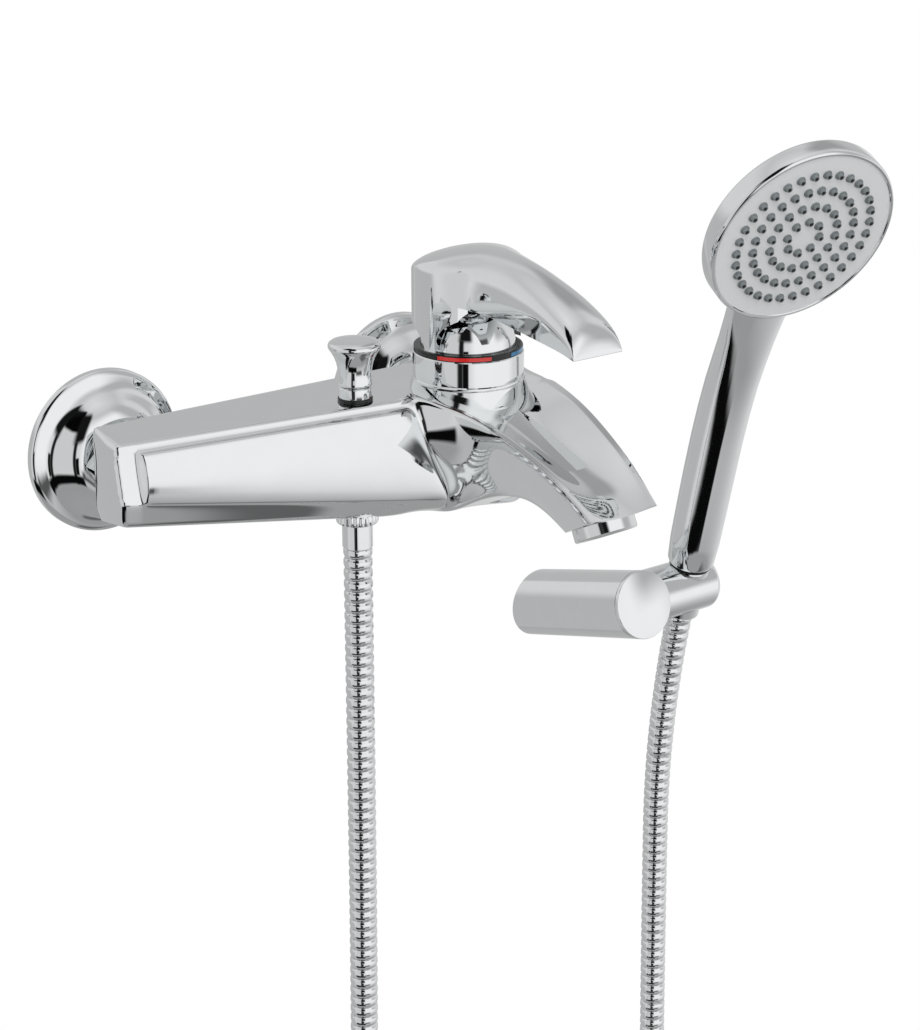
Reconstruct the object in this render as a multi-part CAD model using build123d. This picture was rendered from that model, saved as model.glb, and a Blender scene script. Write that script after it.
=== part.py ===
from build123d import *
import math
import os

os.makedirs("parts", exist_ok=True)

# Wall-mounted single-lever bath mixer with hand shower, hose and wall bracket, in millimetres.
# The finished wall is the plane Y = 0 and the mixer stands out of it along -Y, with +Z up.
# The origin lies midway between the two supply inlets.

# Supply side
inlet_pitch = 150.0
stud_radius = 10.48
stud_bore = 6.5
stud_depth = 15.0
collar_radius = 14.2
collar_end = 13.0
union_radius = 13.1
union_end = 25.5
union_bore = 9.0
thread_gap = 0.1
face_gap = 0.3
washer_thickness = 2.0
tail_flange_radius = 12.2
tail_flange_thickness = 3.0
tail_radius = 9.8
tail_bore = 7.6
tail_seat_depth = 6.4
inlet_port = 5.5
nut_across_flats = 30.0
nut_lip = 2.4
valve_radius = 7.5
valve_length = 8.0

# Wall rosettes
rosette_radius = 34.3
rosette_depth = 17.2
rosette_rim = 3.6
rosette_wall = 1.6

# Mixer bar: it tapers from its right end, which carries the spout, to its left end
bar_left = -100.0
back_y = -34.0
back_top_z = 22.0
crease_z = 18.3
crease_y_left = -53.0
crease_slope = -0.133
panel_drop = 3.2
panel_step = 4.6
panel_bulge = 3.0
panel_foot_left = -3.4
panel_foot_slope = -0.160
sole_front_left = -13.6
sole_slope = -0.147
sole_fall = 3.0
sole_corner_y_left = -59.0
sole_corner_slope = -0.10
bar_corner = 3.0

# Spout
spout_x = 71.0
spout_half_root = 29.5
spout_taper = 0.1475
spout_root_y = -80.0
rail_width = 4.3
channel_depth = 7.6
spout_bore = 5.2
channel_floor_half = 9.0
strip_depth = 0.9
tip_tilt = 27.0
tip_y = -148.0
tip_z = -22.7

# Aerator
aerator_radius = 13.2
aerator_stand = 5.7
aerator_thread_radius = 10.0
aerator_thread_length = 3.0
aerator_washer_thickness = 1.4
aerator_wall = 1.4

# Cartridge tower
tower_y = -58.8
neck_radius = 22.3
neck_bead_z = 18.3
neck_top_z = 28.0
neck_foot_z = 9.0
cartridge_radius = 17.5
cartridge_floor_z = -14.0
cartridge_shoulder_z = 12.0
nut_radius = 20.0
nut_top_z = 27.0
sleeve_radius = 23.8
sleeve_top_z = 31.0
ring_radius = 23.3
ring_top_z = 33.4
mark_from = 13.0
mark_to = 71.0
mark_height = 1.6
mark_depth = 0.8
dome_radius = 20.3
dome_wall = 1.5
dome_centre_z = 33.4

# Lever
pivot_z = 22.0
stem_lean = 11.0
stem_square = 8.0
stem_top = 40.0
stem_toe = 15.0
hood_radius = 24.0
hood_wall = 2.2
hood_foot_z = 34.3
arch_rise = 18.6
arch_half_angle = 72.0
arch_squareness = 3.2
rear_arch_rise = 11.2
rear_arch_half = 25.0
lever_end_y = -143.0
hub_radius = 7.5
hub_start = 29.5

# Diverter and shower outlet
diverter_x = 11.5
diverter_y = -59.5
knob_top_z = 45.0
knob_cap_radius = 11.0
knob_cap_height = 4.0
knob_waist_radius = 8.0
knob_foot_z = 30.8
knob_neck_radius = 5.5
gland_radius = 6.9
gland_top_z = 25.4
gland_thread_radius = 6.0
divert_ring_radius = 7.35
divert_ring_z = 21.8
bar_top_at_diverter = 19.4
rod_radius = 2.5
outlet_face_z = -29.6
outlet_bore = 8.3

# Hose
hose_nut_radius = 9.0
hose_nut_foot_z = -34.0
ferrule_radius = 6.5
ferrule_foot_z = -45.0
hose_radius = 6.2
hose_groove = 0.8
hose_bore = 4.0
hose_ribs = 190

# Wall bracket
bracket_x = 159.2
bracket_z = -123.4
bracket_rise = 15.9
barrel_radius = 15.9
barrel_length = 80.0
barrel_wall = 2.4
bracket_cap_thickness = 2.4
anchor_length = 16.0
screw_radius = 2.2
screw_spacing = 12.0
screw_raise = 1.8
arm_radius = 12.8
arm_setback = 16.0
arm_reach = 52.0
arm_nose = 3.5
seat_offset = 39.5
axle_radius = 3.0
friction_radius = 9.0
friction_thickness = 1.0

# Hand shower
handle_lean = 12.8
handset_turn = 10.9
cone_top_radius = 9.9
cone_foot_radius = 8.6
cone_top = 11.4
cone_foot = -14.0
seat_gap = 0.12
slot_width = 13.4
black_ring_radius = 9.75
black_ring_height = 1.6
handle_radius = 11.9
head_radius = 44.0
rim_width = 2.1
plate_radius = head_radius - rim_width
head_tilt = 102.8
head_up = 193.2
head_out = 32.2
rim_depth = 3.2
head_side = 10.0
head_dome = 21.0
waterway_radius = 3.5
nozzle_pitch = 8.1
nozzle_rings = 4
nozzle_radius = 1.6
nozzle_stand = 1.0
plate_thickness = 2.0

ROUND = (Align.CENTER, Align.CENTER, Align.MIN)


def rod(radius, start, end):
    """A round bar between two points."""
    span = Vector(*end) - Vector(*start)
    return Plane(origin=start, z_dir=span) * Cylinder(radius, span.length, align=ROUND)


def tube(outer, inner, start, end):
    """A round tube between two points."""
    return rod(outer, start, end) - rod(inner, start, end)


def cone(first, second, start, end):
    """A round taper between two points."""
    span = Vector(*end) - Vector(*start)
    return Plane(origin=start, z_dir=span) * Cone(first, second, span.length, align=ROUND)


def turned(profile, place):
    """A profile of (radius, height) points turned about the height axis of a plane."""
    face = make_face(Polyline(*[(r, 0, h) for r, h in profile], close=True))
    return place * revolve(face, Axis.Z)


def along(origin, direction, distance):
    """The point at a distance from an origin along a unit direction."""
    return tuple(o + distance * d for o, d in zip(origin, direction))


def save(shape, node):
    """Write one sub-part."""
    export_step(shape, "parts/" + node + ".step")


def from_wall(x, z):
    """The plane at a point of the wall whose height axis leads into the room."""
    return Plane(origin=(x, 0, z), x_dir=(1, 0, 0), z_dir=(0, -1, 0))


# Supply unions, nuts, washers, tails and non-return valves
washer_end = union_end + washer_thickness
flange_end = washer_end + tail_flange_thickness
nut_end = flange_end + thread_gap + nut_lip
tail_end = -back_y + tail_seat_depth
nut_start = rosette_depth + face_gap

union_profile = [(stud_bore, -stud_depth), (stud_radius, -stud_depth), (stud_radius, face_gap),
                 (collar_radius, face_gap), (collar_radius, collar_end), (union_radius, collar_end),
                 (union_radius, union_end), (union_bore, union_end), (union_bore, collar_end),
                 (stud_bore, collar_end)]
rosette_profile = [(collar_radius + thread_gap, 0), (collar_radius + thread_gap + rosette_wall, 0),
                   (collar_radius + thread_gap + rosette_wall, collar_end - rosette_wall),
                   (rosette_radius * 0.60, collar_end - rosette_wall * 1.6),
                   (rosette_radius * 0.78, rosette_rim + 1.2),
                   (rosette_radius - rosette_wall * 1.4, rosette_rim - rosette_wall),
                   (rosette_radius - rosette_wall, 0), (rosette_radius, 0),
                   (rosette_radius, rosette_rim * 0.75), (rosette_radius - rosette_rim * 0.25, rosette_rim),
                   (rosette_radius * 0.88, rosette_rim + 1.3), (rosette_radius * 0.78, rosette_rim + 4.0),
                   (rosette_radius * 0.69, rosette_rim + 8.2), (rosette_radius * 0.60, rosette_depth - 2.4),
                   (rosette_radius * 0.51, rosette_depth - 0.6), (collar_radius + thread_gap, rosette_depth)]
nut_profile = [(union_radius + thread_gap, nut_start), (nut_across_flats, nut_start),
               (nut_across_flats, nut_end), (tail_radius + thread_gap, nut_end),
               (tail_radius + thread_gap, flange_end + thread_gap),
               (union_radius + thread_gap, flange_end + thread_gap)]
tail_profile = [(tail_bore, washer_end), (tail_flange_radius, washer_end), (tail_flange_radius, flange_end),
                (tail_radius, flange_end), (tail_radius, tail_end), (tail_bore, tail_end)]
valve_start = flange_end + 1.0
valve_end = valve_start + valve_length
valve_seat = valve_radius - 2.0
valve_profile = [(0, valve_start + 2.0), (valve_seat - 1.0, valve_start + 2.0), (valve_seat, valve_start + 3.0),
                 (valve_seat, valve_start), (valve_radius, valve_start), (valve_radius, valve_end),
                 (valve_seat, valve_end), (valve_seat, valve_end - 2.0), (1.2, valve_end - 2.0),
                 (1.2, valve_end), (0, valve_end)]

for side, x in (("left", -inlet_pitch / 2), ("right", inlet_pitch / 2)):
    wall = from_wall(x, 0)
    save(turned(union_profile, wall), "inlet_union_" + side)
    save(turned(rosette_profile, wall), "rosette_" + side)
    hexagon = wall * extrude(RegularPolygon(nut_across_flats / 2, 6, major_radius=False), nut_end)
    save(turned(nut_profile, wall) & hexagon, "union_nut_" + side)
    save(tube(union_radius - 0.9, union_bore, (x, -union_end, 0), (x, -washer_end, 0)), "union_washer_" + side)
    save(turned(tail_profile, wall), "inlet_tail_" + side)
    save(turned(valve_profile, wall), "check_valve_" + side)


# Mixer body: a tapering bar with a swelling front panel, a spout with two rails, and the tower's neck
bar_right = spout_x + spout_half_root


def bar_section(x):
    """The bar's cross-section at a place along its length, as a face."""
    run = x - bar_left
    crease_y = crease_y_left + crease_slope * run
    lip_y = crease_y - panel_step
    lip_z = crease_z - panel_drop
    foot_z = panel_foot_left + panel_foot_slope * run
    foot_y = crease_y - panel_step - 0.6
    sole_y = sole_corner_y_left + sole_corner_slope * run
    sole_z = sole_front_left + sole_slope * run
    rear_z = sole_z - sole_fall
    middle = ((lip_y + foot_y) / 2 - panel_bulge, (lip_z + foot_z) / 2)
    top = Line((x, back_y, back_top_z), (x, crease_y, crease_z))
    hollow = Line((x, crease_y, crease_z), (x, lip_y, lip_z))
    front = ThreePointArc((x, lip_y, lip_z), (x, middle[0], middle[1]), (x, foot_y, foot_z))
    tuck = Line((x, foot_y, foot_z), (x, sole_y, sole_z))
    sole = Line((x, sole_y, sole_z), (x, back_y - bar_corner, rear_z))
    heel = Line((x, back_y - bar_corner, rear_z), (x, back_y, rear_z + bar_corner))
    rear = Line((x, back_y, rear_z + bar_corner), (x, back_y, back_top_z))
    return make_face([top, hollow, front, tuck, sole, heel, rear])


bar = loft([bar_section(bar_left), bar_section(bar_right)], ruled=True)

# Stations of the spout along -Y: rail height, sole height, sole half-width and share of the channel's depth
spout_stations = [(-66.0, 18.3, -37.0, 24.0, 1.0), (-80.0, 16.2, -30.5, 20.0, 1.0), (-95.0, 14.3, -23.5, 16.0, 1.0),
                  (-110.0, 10.2, -20.4, 13.2, 1.0), (-125.0, 4.9, -22.2, 12.4, 0.98), (-140.0, -1.8, -29.5, 12.0, 0.70),
                  (-152.0, -8.9, -37.0, 11.6, 0.25), (-166.0, -20.8, -46.0, 11.0, 0.12)]


def spout_half(y):
    """The spout's outer half-width at a place along it."""
    return spout_half_root - spout_taper * max(0.0, spout_root_y - y)


def spout_section(y, rail_z, sole_z, sole_half, depth_share):
    """The spout's cross-section: two rails, a sunk channel between them and leaning sides."""
    half = spout_half(y)
    inner = half - rail_width
    floor_z = rail_z - channel_depth * depth_share
    bank = channel_floor_half + 2.0
    waist_z = rail_z * 0.45 + sole_z * 0.55
    waist = half * 0.35 + sole_half * 0.65 + 1.0
    right = [(half, rail_z), (inner, rail_z - 0.3 * depth_share), (bank, floor_z)]
    left = [(-px, pz) for px, pz in reversed(right)]
    low = [(-waist, waist_z), (-sole_half, sole_z), (sole_half, sole_z), (waist, waist_z)]
    ring = [(spout_x + px, y, pz) for px, pz in right + left + low]
    return make_face(Polyline(*ring, close=True))


spout = loft([spout_section(*station) for station in spout_stations])
tower = Plane(origin=(spout_x, tower_y, 0))
sink_radius = spout_half_root - rail_width
sink = rod(sink_radius, (spout_x, tower_y, neck_foot_z), (spout_x, tower_y, back_top_z + 1.0))
sink_front = Pos(spout_x, (tower_y + spout_root_y) / 2 - 1.0, neck_foot_z) * Box(
    2 * sink_radius, tower_y - spout_root_y + 2.0, back_top_z, align=ROUND)
body = bar + spout - (sink + sink_front)

# The neck and its tongue on the channel floor
neck = rod(neck_radius + 1.2, (spout_x, tower_y, neck_foot_z - 3.0), (spout_x, tower_y, neck_bead_z))
neck = neck + rod(neck_radius, (spout_x, tower_y, neck_bead_z), (spout_x, tower_y, neck_top_z))
tongue_side = make_face(Polyline((spout_x, -72.0, 0.0), (spout_x, -72.0, 12.5), (spout_x, -84.0, 10.6),
                                 (spout_x, -93.0, 8.6), (spout_x, -99.0, 5.6), (spout_x, -102.0, 0.0), close=True))
tongue_plan = Pos(spout_x, -83.0, -6.0) * extrude(Ellipse(9.5, 18.0), 30.0)
tongue = extrude(tongue_side, 12.0, dir=(1, 0, 0), both=True) & tongue_plan
body = body + neck + tongue

# The sunk strip of the channel floor, which ends in a small step before the tip
strip_slope = math.degrees(math.atan2(12.7, 34.9))
strip_place = Plane(origin=(spout_x, -115.0, 0.8 - strip_depth), x_dir=(1, 0, 0),
                    z_dir=(0, -math.sin(math.radians(strip_slope)), math.cos(math.radians(strip_slope))))
strip = strip_place * extrude(Rectangle(2 * channel_floor_half, 37.0), 12.0)
body = body - strip

# The tip's cut and the aerator seat
tip_normal = (0.0, -math.sin(math.radians(tip_tilt)), -math.cos(math.radians(tip_tilt)))
tip_centre = (spout_x, tip_y, tip_z)
tip_plane = Plane(origin=tip_centre, x_dir=(1, 0, 0), z_dir=tip_normal)
body = body - tip_plane * extrude(Rectangle(90.0, 60.0), 60.0)
thread_top = along(tip_centre, tip_normal, -aerator_thread_length)
washer_top = along(tip_centre, tip_normal, -aerator_thread_length - aerator_washer_thickness)
waterway_top = along(tip_centre, tip_normal, -8.0)
body = body - rod(aerator_thread_radius + thread_gap, tip_centre, washer_top)
body = body - rod(spout_bore, tip_centre, waterway_top)
body = body - rod(spout_bore, waterway_top, (spout_x, tower_y - 10.0, -11.0))

# Bores of the tower, the supply tails, the diverter and the shower outlet
body = body - rod(cartridge_radius + thread_gap, (spout_x, tower_y, cartridge_floor_z),
                  (spout_x, tower_y, cartridge_shoulder_z))
body = body - rod(nut_radius + thread_gap, (spout_x, tower_y, cartridge_shoulder_z),
                  (spout_x, tower_y, neck_top_z + 1.0))
for x in (-inlet_pitch / 2, inlet_pitch / 2):
    body = body - rod(tail_radius + thread_gap, (x, 0, 0), (x, -tail_end - thread_gap, 0))
    body = body - rod(inlet_port, (x, back_y, 0), (x, back_y - tail_seat_depth - 4.0, 0))
gland_seat_z = bar_top_at_diverter
flat_top = Pos(diverter_x, diverter_y, gland_seat_z) * Cylinder(divert_ring_radius + 0.4, 8.0, align=ROUND)
body = body - flat_top
body = body - rod(gland_thread_radius + thread_gap, (diverter_x, diverter_y, gland_seat_z - 9.0),
                  (diverter_x, diverter_y, gland_seat_z + 1.0))
body = body - rod(outlet_bore + thread_gap, (diverter_x, diverter_y, outlet_face_z - 12.0),
                  (diverter_x, diverter_y, gland_seat_z - 9.0))
boss = tube(hose_nut_radius + 1.0, outlet_bore + thread_gap, (diverter_x, diverter_y, outlet_face_z),
            (diverter_x, diverter_y, outlet_face_z + 8.0))
body = body - Pos(diverter_x, diverter_y, outlet_face_z) * Cylinder(
    hose_nut_radius + 1.0, 30.0, align=(Align.CENTER, Align.CENTER, Align.MAX)) + boss
save(body, "mixer_body")

# Cartridge in the tower: base seal, housing, discs, turret, pin, stem and nut
seal_z = cartridge_floor_z + 1.2
housing_wall = 1.5
disc_floor_z = seal_z + 3.0
fixed_disc_z = disc_floor_z + 4.0
moving_disc_z = fixed_disc_z + 4.0
carrier_top_z = cartridge_shoulder_z - 2.8
turret_skirt = cartridge_radius - housing_wall - 0.1
carrier_radius = 9.0
carrier_grip = 1.2
disc_travel = 2 * (stem_toe - carrier_grip) * math.sin(math.radians(stem_lean))
carrier_y = tower_y + disc_travel / 2
save(tube(cartridge_radius - 1.0, cartridge_radius - 4.0, (spout_x, tower_y, cartridge_floor_z),
          (spout_x, tower_y, seal_z)), "base_seal")
housing = rod(cartridge_radius, (spout_x, tower_y, seal_z), (spout_x, tower_y, cartridge_shoulder_z))
housing = housing - rod(cartridge_radius - housing_wall, (spout_x, tower_y, disc_floor_z),
                        (spout_x, tower_y, cartridge_shoulder_z))
for px, py in ((-6.0, 5.0), (6.0, 5.0), (0.0, -8.0)):
    housing = housing - rod(2.6, (spout_x + px, tower_y + py, seal_z), (spout_x + px, tower_y + py, disc_floor_z))
save(housing, "cartridge_housing")
fixed_disc = rod(turret_skirt - 0.3, (spout_x, tower_y, disc_floor_z), (spout_x, tower_y, fixed_disc_z))
for px, py in ((-6.0, 5.0), (6.0, 5.0), (0.0, -8.0)):
    fixed_disc = fixed_disc - rod(2.6, (spout_x + px, tower_y + py, disc_floor_z),
                                  (spout_x + px, tower_y + py, fixed_disc_z))
save(fixed_disc, "fixed_disc")
carrier = rod(carrier_radius + 2.0, (spout_x, carrier_y, fixed_disc_z), (spout_x, carrier_y, moving_disc_z))
carrier = carrier + rod(carrier_radius, (spout_x, carrier_y, moving_disc_z), (spout_x, carrier_y, carrier_top_z))
carrier = carrier - Pos(spout_x, carrier_y, carrier_top_z - 4.0) * Box(5.0, 6.6, 8.0, align=ROUND)
save(carrier, "moving_disc")
turret = rod(turret_skirt, (spout_x, tower_y, moving_disc_z + 0.3), (spout_x, tower_y, cartridge_shoulder_z - 0.4))
turret = turret - rod(carrier_radius + disc_travel / 2 + 0.4, (spout_x, tower_y, moving_disc_z),
                      (spout_x, tower_y, cartridge_shoulder_z - 2.4))
turret_neck_radius = 12.0
turret = turret + rod(turret_neck_radius, (spout_x, tower_y, cartridge_shoulder_z - 2.4),
                      (spout_x, tower_y, ring_top_z - 4.0))
turret = turret - Pos(spout_x, tower_y, moving_disc_z) * Box(stem_square + 0.6, 20.5, 60.0, align=ROUND)
pin_radius = 2.0
pin_start = (spout_x - turret_neck_radius + 0.6, tower_y, pivot_z)
pin_end = (spout_x + turret_neck_radius - 0.6, tower_y, pivot_z)
turret = turret - rod(pin_radius, pin_start, pin_end)
save(turret, "cartridge_turret")
save(rod(pin_radius, pin_start, pin_end), "stem_pin")
stem_up = (0.0, -math.sin(math.radians(stem_lean)), math.cos(math.radians(stem_lean)))
stem_plane = Plane(origin=(spout_x, tower_y, pivot_z), x_dir=(1, 0, 0), z_dir=stem_up)
stem = stem_plane * (Pos(0, 0, -3.6) * Box(stem_square, stem_square, stem_top + 3.6, align=ROUND))
stem = stem + stem_plane * (Pos(0, 0, -stem_toe) * Box(4.0, 4.0, stem_toe, align=ROUND))
stem = stem - rod(pin_radius + 0.05, pin_start, pin_end)
save(stem, "lever_stem")
nut = tube(nut_radius, turret_neck_radius + 0.3, (spout_x, tower_y, cartridge_shoulder_z),
           (spout_x, tower_y, nut_top_z))
nut_recess = Plane(origin=(spout_x, tower_y, nut_top_z - 6.0)) * extrude(
    RegularPolygon(turret_neck_radius + 3.0, 6, major_radius=False), 10.0)
save(nut - nut_recess, "cartridge_nut")

# Sleeve, temperature ring with its marks, and the domed cap
sleeve_profile = [(neck_radius + thread_gap, neck_bead_z), (sleeve_radius, neck_bead_z),
                  (sleeve_radius + 0.5, neck_bead_z + 0.5), (sleeve_radius + 0.5, neck_bead_z + 1.3),
                  (sleeve_radius, neck_bead_z + 1.8), (sleeve_radius, sleeve_top_z - 0.5),
                  (sleeve_radius - 0.5, sleeve_top_z), (dome_radius - 3.0, sleeve_top_z),
                  (dome_radius - 3.0, neck_top_z + 0.4), (neck_radius + thread_gap, neck_top_z + 0.4)]
save(turned(sleeve_profile, tower), "neck_sleeve")
ring = tube(ring_radius, dome_radius + 0.1, (spout_x, tower_y, sleeve_top_z), (spout_x, tower_y, ring_top_z))


def mark(start, end):
    """A coloured bar let into the ring, between two angles from the front."""
    low = sleeve_top_z + (ring_top_z - sleeve_top_z - mark_height) / 2
    band = tube(ring_radius + 0.15, ring_radius - mark_depth, (0, 0, low), (0, 0, low + mark_height))
    reach = 3 * ring_radius
    outline = [(0, 0)]
    for share in (0.0, 0.25, 0.5, 0.75, 1.0):
        angle = math.radians(start + share * (end - start))
        outline.append((reach * math.sin(angle), -reach * math.cos(angle)))
    wedge = extrude(make_face(Polyline(*outline, close=True)), ring_top_z + 1.0)
    return Pos(spout_x, tower_y, 0) * (band & wedge)


red = mark(-mark_to, -mark_from)
blue = mark(mark_from, mark_to)
save(ring - red - blue, "temperature_ring")
save(red, "red_mark")
save(blue, "blue_mark")
dome_points = []
for step in range(7):
    angle = math.radians(step * 8.4)
    dome_points.append((dome_radius * math.cos(angle), dome_centre_z + dome_radius * math.sin(angle)))
dome_inside = [(r - dome_wall, z - dome_wall * 0.5) for r, z in reversed(dome_points)]
dome_profile = [(dome_radius, sleeve_top_z)] + dome_points + dome_inside + [(dome_radius - dome_wall, sleeve_top_z)]
save(turned(dome_profile, tower), "domed_cap")

# Lever: a hood over the cap that runs out into a bowed blade
hood_top_z = 58.0
hood = rod(hood_radius, (spout_x, tower_y, hood_foot_z), (spout_x, tower_y, hood_top_z))
# Stations of the blade along -Y: half-width, crown height, shoulder height, sole height
lever_stations = [(-34.9, 9.0, 63.0, 60.0, 55.0), (-38.0, 17.0, 67.5, 62.0, 52.6),
                  (-46.0, 22.0, 72.2, 64.5, 50.6), (-58.8, 24.0, 76.2, 65.5, 50.0),
                  (-72.0, 20.6, 77.6, 64.6, 52.6), (-86.0, 15.4, 77.2, 63.0, 53.6),
                  (-102.0, 13.6, 74.1, 61.2, 52.0), (-118.0, 13.2, 69.0, 59.3, 50.0),
                  (-131.0, 13.0, 63.0, 55.8, 48.2), (-140.0, 12.9, 56.4, 50.6, 46.6), (lever_end_y, 12.6, 50.5, 48.0, 46.0)]


def lever_section(y, half, crown, shoulder, sole):
    """The blade's cross-section: a bowed crown on two upright flanks."""
    bow = ThreePointArc((spout_x - half, y, shoulder), (spout_x, y, crown), (spout_x + half, y, shoulder))
    sides = Polyline((spout_x + half, y, shoulder), (spout_x + half, y, sole),
                     (spout_x - half, y, sole), (spout_x - half, y, shoulder))
    return make_face([bow] + list(sides.edges()))


blade = loft([lever_section(*station) for station in lever_stations])
lever = hood + blade
hollow_radius = hood_radius - hood_wall
lever = lever - rod(hollow_radius, (spout_x, tower_y, hood_foot_z - 1.0), (spout_x, tower_y, hood_top_z))
under = make_face(Polyline((spout_x, tower_y - 15.0, 40.0), (spout_x, tower_y - 15.0, 58.5),
                           (spout_x, -100.0, 60.0), (spout_x, -122.0, 56.5), (spout_x, -134.0, 51.5),
                           (spout_x, -136.0, 40.0), close=True))
lever = lever - extrude(under, 10.8, dir=(1, 0, 0), both=True)
arch_half = hood_radius * math.sin(math.radians(arch_half_angle))
front_arch = Plane(origin=(spout_x, tower_y, hood_foot_z), x_dir=(1, 0, 0), z_dir=(0, -1, 0))
arch_points = []
for step in range(13):
    angle = math.pi * step / 12
    across = math.copysign(abs(math.cos(angle)) ** (2 / arch_squareness), math.cos(angle))
    arch_points.append((arch_half * across, arch_rise * math.sin(angle) ** (2 / arch_squareness)))
arch_face = make_face([Spline(*arch_points), Line(arch_points[-1], arch_points[0])])
lever = lever - front_arch * extrude(arch_face, hood_radius + 2.0)
rear_arch = Plane(origin=(spout_x, tower_y + hood_radius, hood_foot_z), x_dir=(0, 1, 0), z_dir=(1, 0, 0))
lever = lever - rear_arch * extrude(Ellipse(rear_arch_half, rear_arch_rise), hood_radius + 6.0, both=True)
hub = stem_plane * (Pos(0, 0, hub_start) * Cylinder(hub_radius, 26.0, align=ROUND))
hub = hub & (hood + blade)
lever = lever + hub
lever = lever - stem_plane * Box(stem_square + 0.1, stem_square + 0.1, 2 * (stem_top + 0.3))
screw_z = pivot_z + (hub_start + 6.0) * math.cos(math.radians(stem_lean))
screw_y = tower_y - (hub_start + 6.0) * math.sin(math.radians(stem_lean)) + stem_square / 2
lever = lever - rod(2.55, (spout_x, screw_y, screw_z), (spout_x, tower_y + hood_radius + 3.0, screw_z))
lever = lever - rod(4.0, (spout_x, tower_y + hollow_radius - 0.6, screw_z), (spout_x, tower_y + hood_radius + 3.0, screw_z))
save(lever, "lever_handle")
set_screw = rod(2.5, (spout_x, screw_y + 0.6, screw_z), (spout_x, screw_y + 7.0, screw_z))
hex_key = Plane(origin=(spout_x, screw_y + 4.5, screw_z), z_dir=(0, 1, 0)) * extrude(RegularPolygon(1.25, 6), 4.0)
save(set_screw - hex_key, "lever_set_screw")
save(rod(3.9, (spout_x, tower_y + hollow_radius - 0.5, screw_z), (spout_x, tower_y + hood_radius - 0.3, screw_z)),
     "lever_plug")

# Diverter: knob, rod, valve plug, gland, ring and seat
here = Plane(origin=(diverter_x, diverter_y, 0))
cap_foot = knob_top_z - knob_cap_height
knob_profile = [(0, knob_foot_z), (knob_neck_radius, knob_foot_z), (knob_neck_radius + 1.5, knob_foot_z),
                (knob_waist_radius, knob_foot_z + 1.5), (knob_waist_radius, cap_foot - 4.0),
                (knob_waist_radius + 0.8, cap_foot - 1.5), (knob_cap_radius, cap_foot),
                (knob_cap_radius, knob_top_z - 1.4), (knob_cap_radius - 1.4, knob_top_z - 0.2),
                (knob_cap_radius - 3.0, knob_top_z), (0, knob_top_z)]
knob_skirt = rod(knob_neck_radius, (diverter_x, diverter_y, gland_top_z + 0.4), (diverter_x, diverter_y, knob_foot_z))
knob = turned(knob_profile, here) + knob_skirt
knob = knob - rod(rod_radius, (diverter_x, diverter_y, gland_top_z), (diverter_x, diverter_y, knob_foot_z + 6.0))
save(knob, "diverter_knob")
plug_top_z = 2.0
plug_foot_z = plug_top_z - 4.0
save(rod(rod_radius, (diverter_x, diverter_y, plug_foot_z), (diverter_x, diverter_y, knob_foot_z + 6.0)),
     "diverter_rod")
save(tube(6.6, rod_radius, (diverter_x, diverter_y, plug_foot_z), (diverter_x, diverter_y, plug_top_z)),
     "diverter_plug")
gland_foot_z = gland_seat_z - 9.0
gland_profile = [(rod_radius + 0.08, gland_foot_z), (gland_thread_radius, gland_foot_z),
                 (gland_thread_radius, divert_ring_z), (gland_radius, divert_ring_z),
                 (gland_radius, gland_top_z - 0.6), (gland_radius - 0.6, gland_top_z),
                 (rod_radius + 0.08, gland_top_z)]
save(turned(gland_profile, here), "diverter_gland")
save(tube(divert_ring_radius, gland_thread_radius + thread_gap, (diverter_x, diverter_y, gland_seat_z),
          (diverter_x, diverter_y, divert_ring_z)), "diverter_ring")
seat_top_z = plug_foot_z - 0.3
save(tube(outlet_bore, 4.5, (diverter_x, diverter_y, seat_top_z - 3.0), (diverter_x, diverter_y, seat_top_z)),
     "diverter_seat")

# Aerator: housing, insert and washer
aerator_place = Plane(origin=tip_centre, x_dir=(1, 0, 0), z_dir=tip_normal)
bezel = aerator_radius - aerator_wall
aerator_profile = [(aerator_thread_radius - aerator_wall, -aerator_thread_length),
                   (aerator_thread_radius, -aerator_thread_length), (aerator_thread_radius, 0.0),
                   (aerator_radius - 0.4, 0.0), (aerator_radius, 0.5), (aerator_radius, aerator_stand - 0.6),
                   (aerator_radius - 0.6, aerator_stand), (bezel - 1.0, aerator_stand),
                   (bezel - 1.0, aerator_stand - 1.2), (aerator_thread_radius - aerator_wall, aerator_stand - 1.2)]
save(turned(aerator_profile, aerator_place), "aerator_housing")
insert_radius = aerator_thread_radius - aerator_wall - 0.1
insert = turned([(0, -aerator_thread_length), (insert_radius, -aerator_thread_length),
                 (insert_radius, aerator_stand - 1.3), (0, aerator_stand - 1.3)], aerator_place)
insert_pitch = insert_radius * 0.27
insert_holes = [aerator_place * (Pos(insert_pitch * i, insert_pitch * j, aerator_stand - 4.3)
                                 * Box(insert_pitch * 0.65, insert_pitch * 0.65, 4.0, align=ROUND))
                for i in range(-2, 3) for j in range(-2, 3)]
save(insert - insert_holes, "aerator_insert")
save(tube(aerator_thread_radius - 0.3, spout_bore + 0.8, washer_top, thread_top), "aerator_washer")

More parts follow.
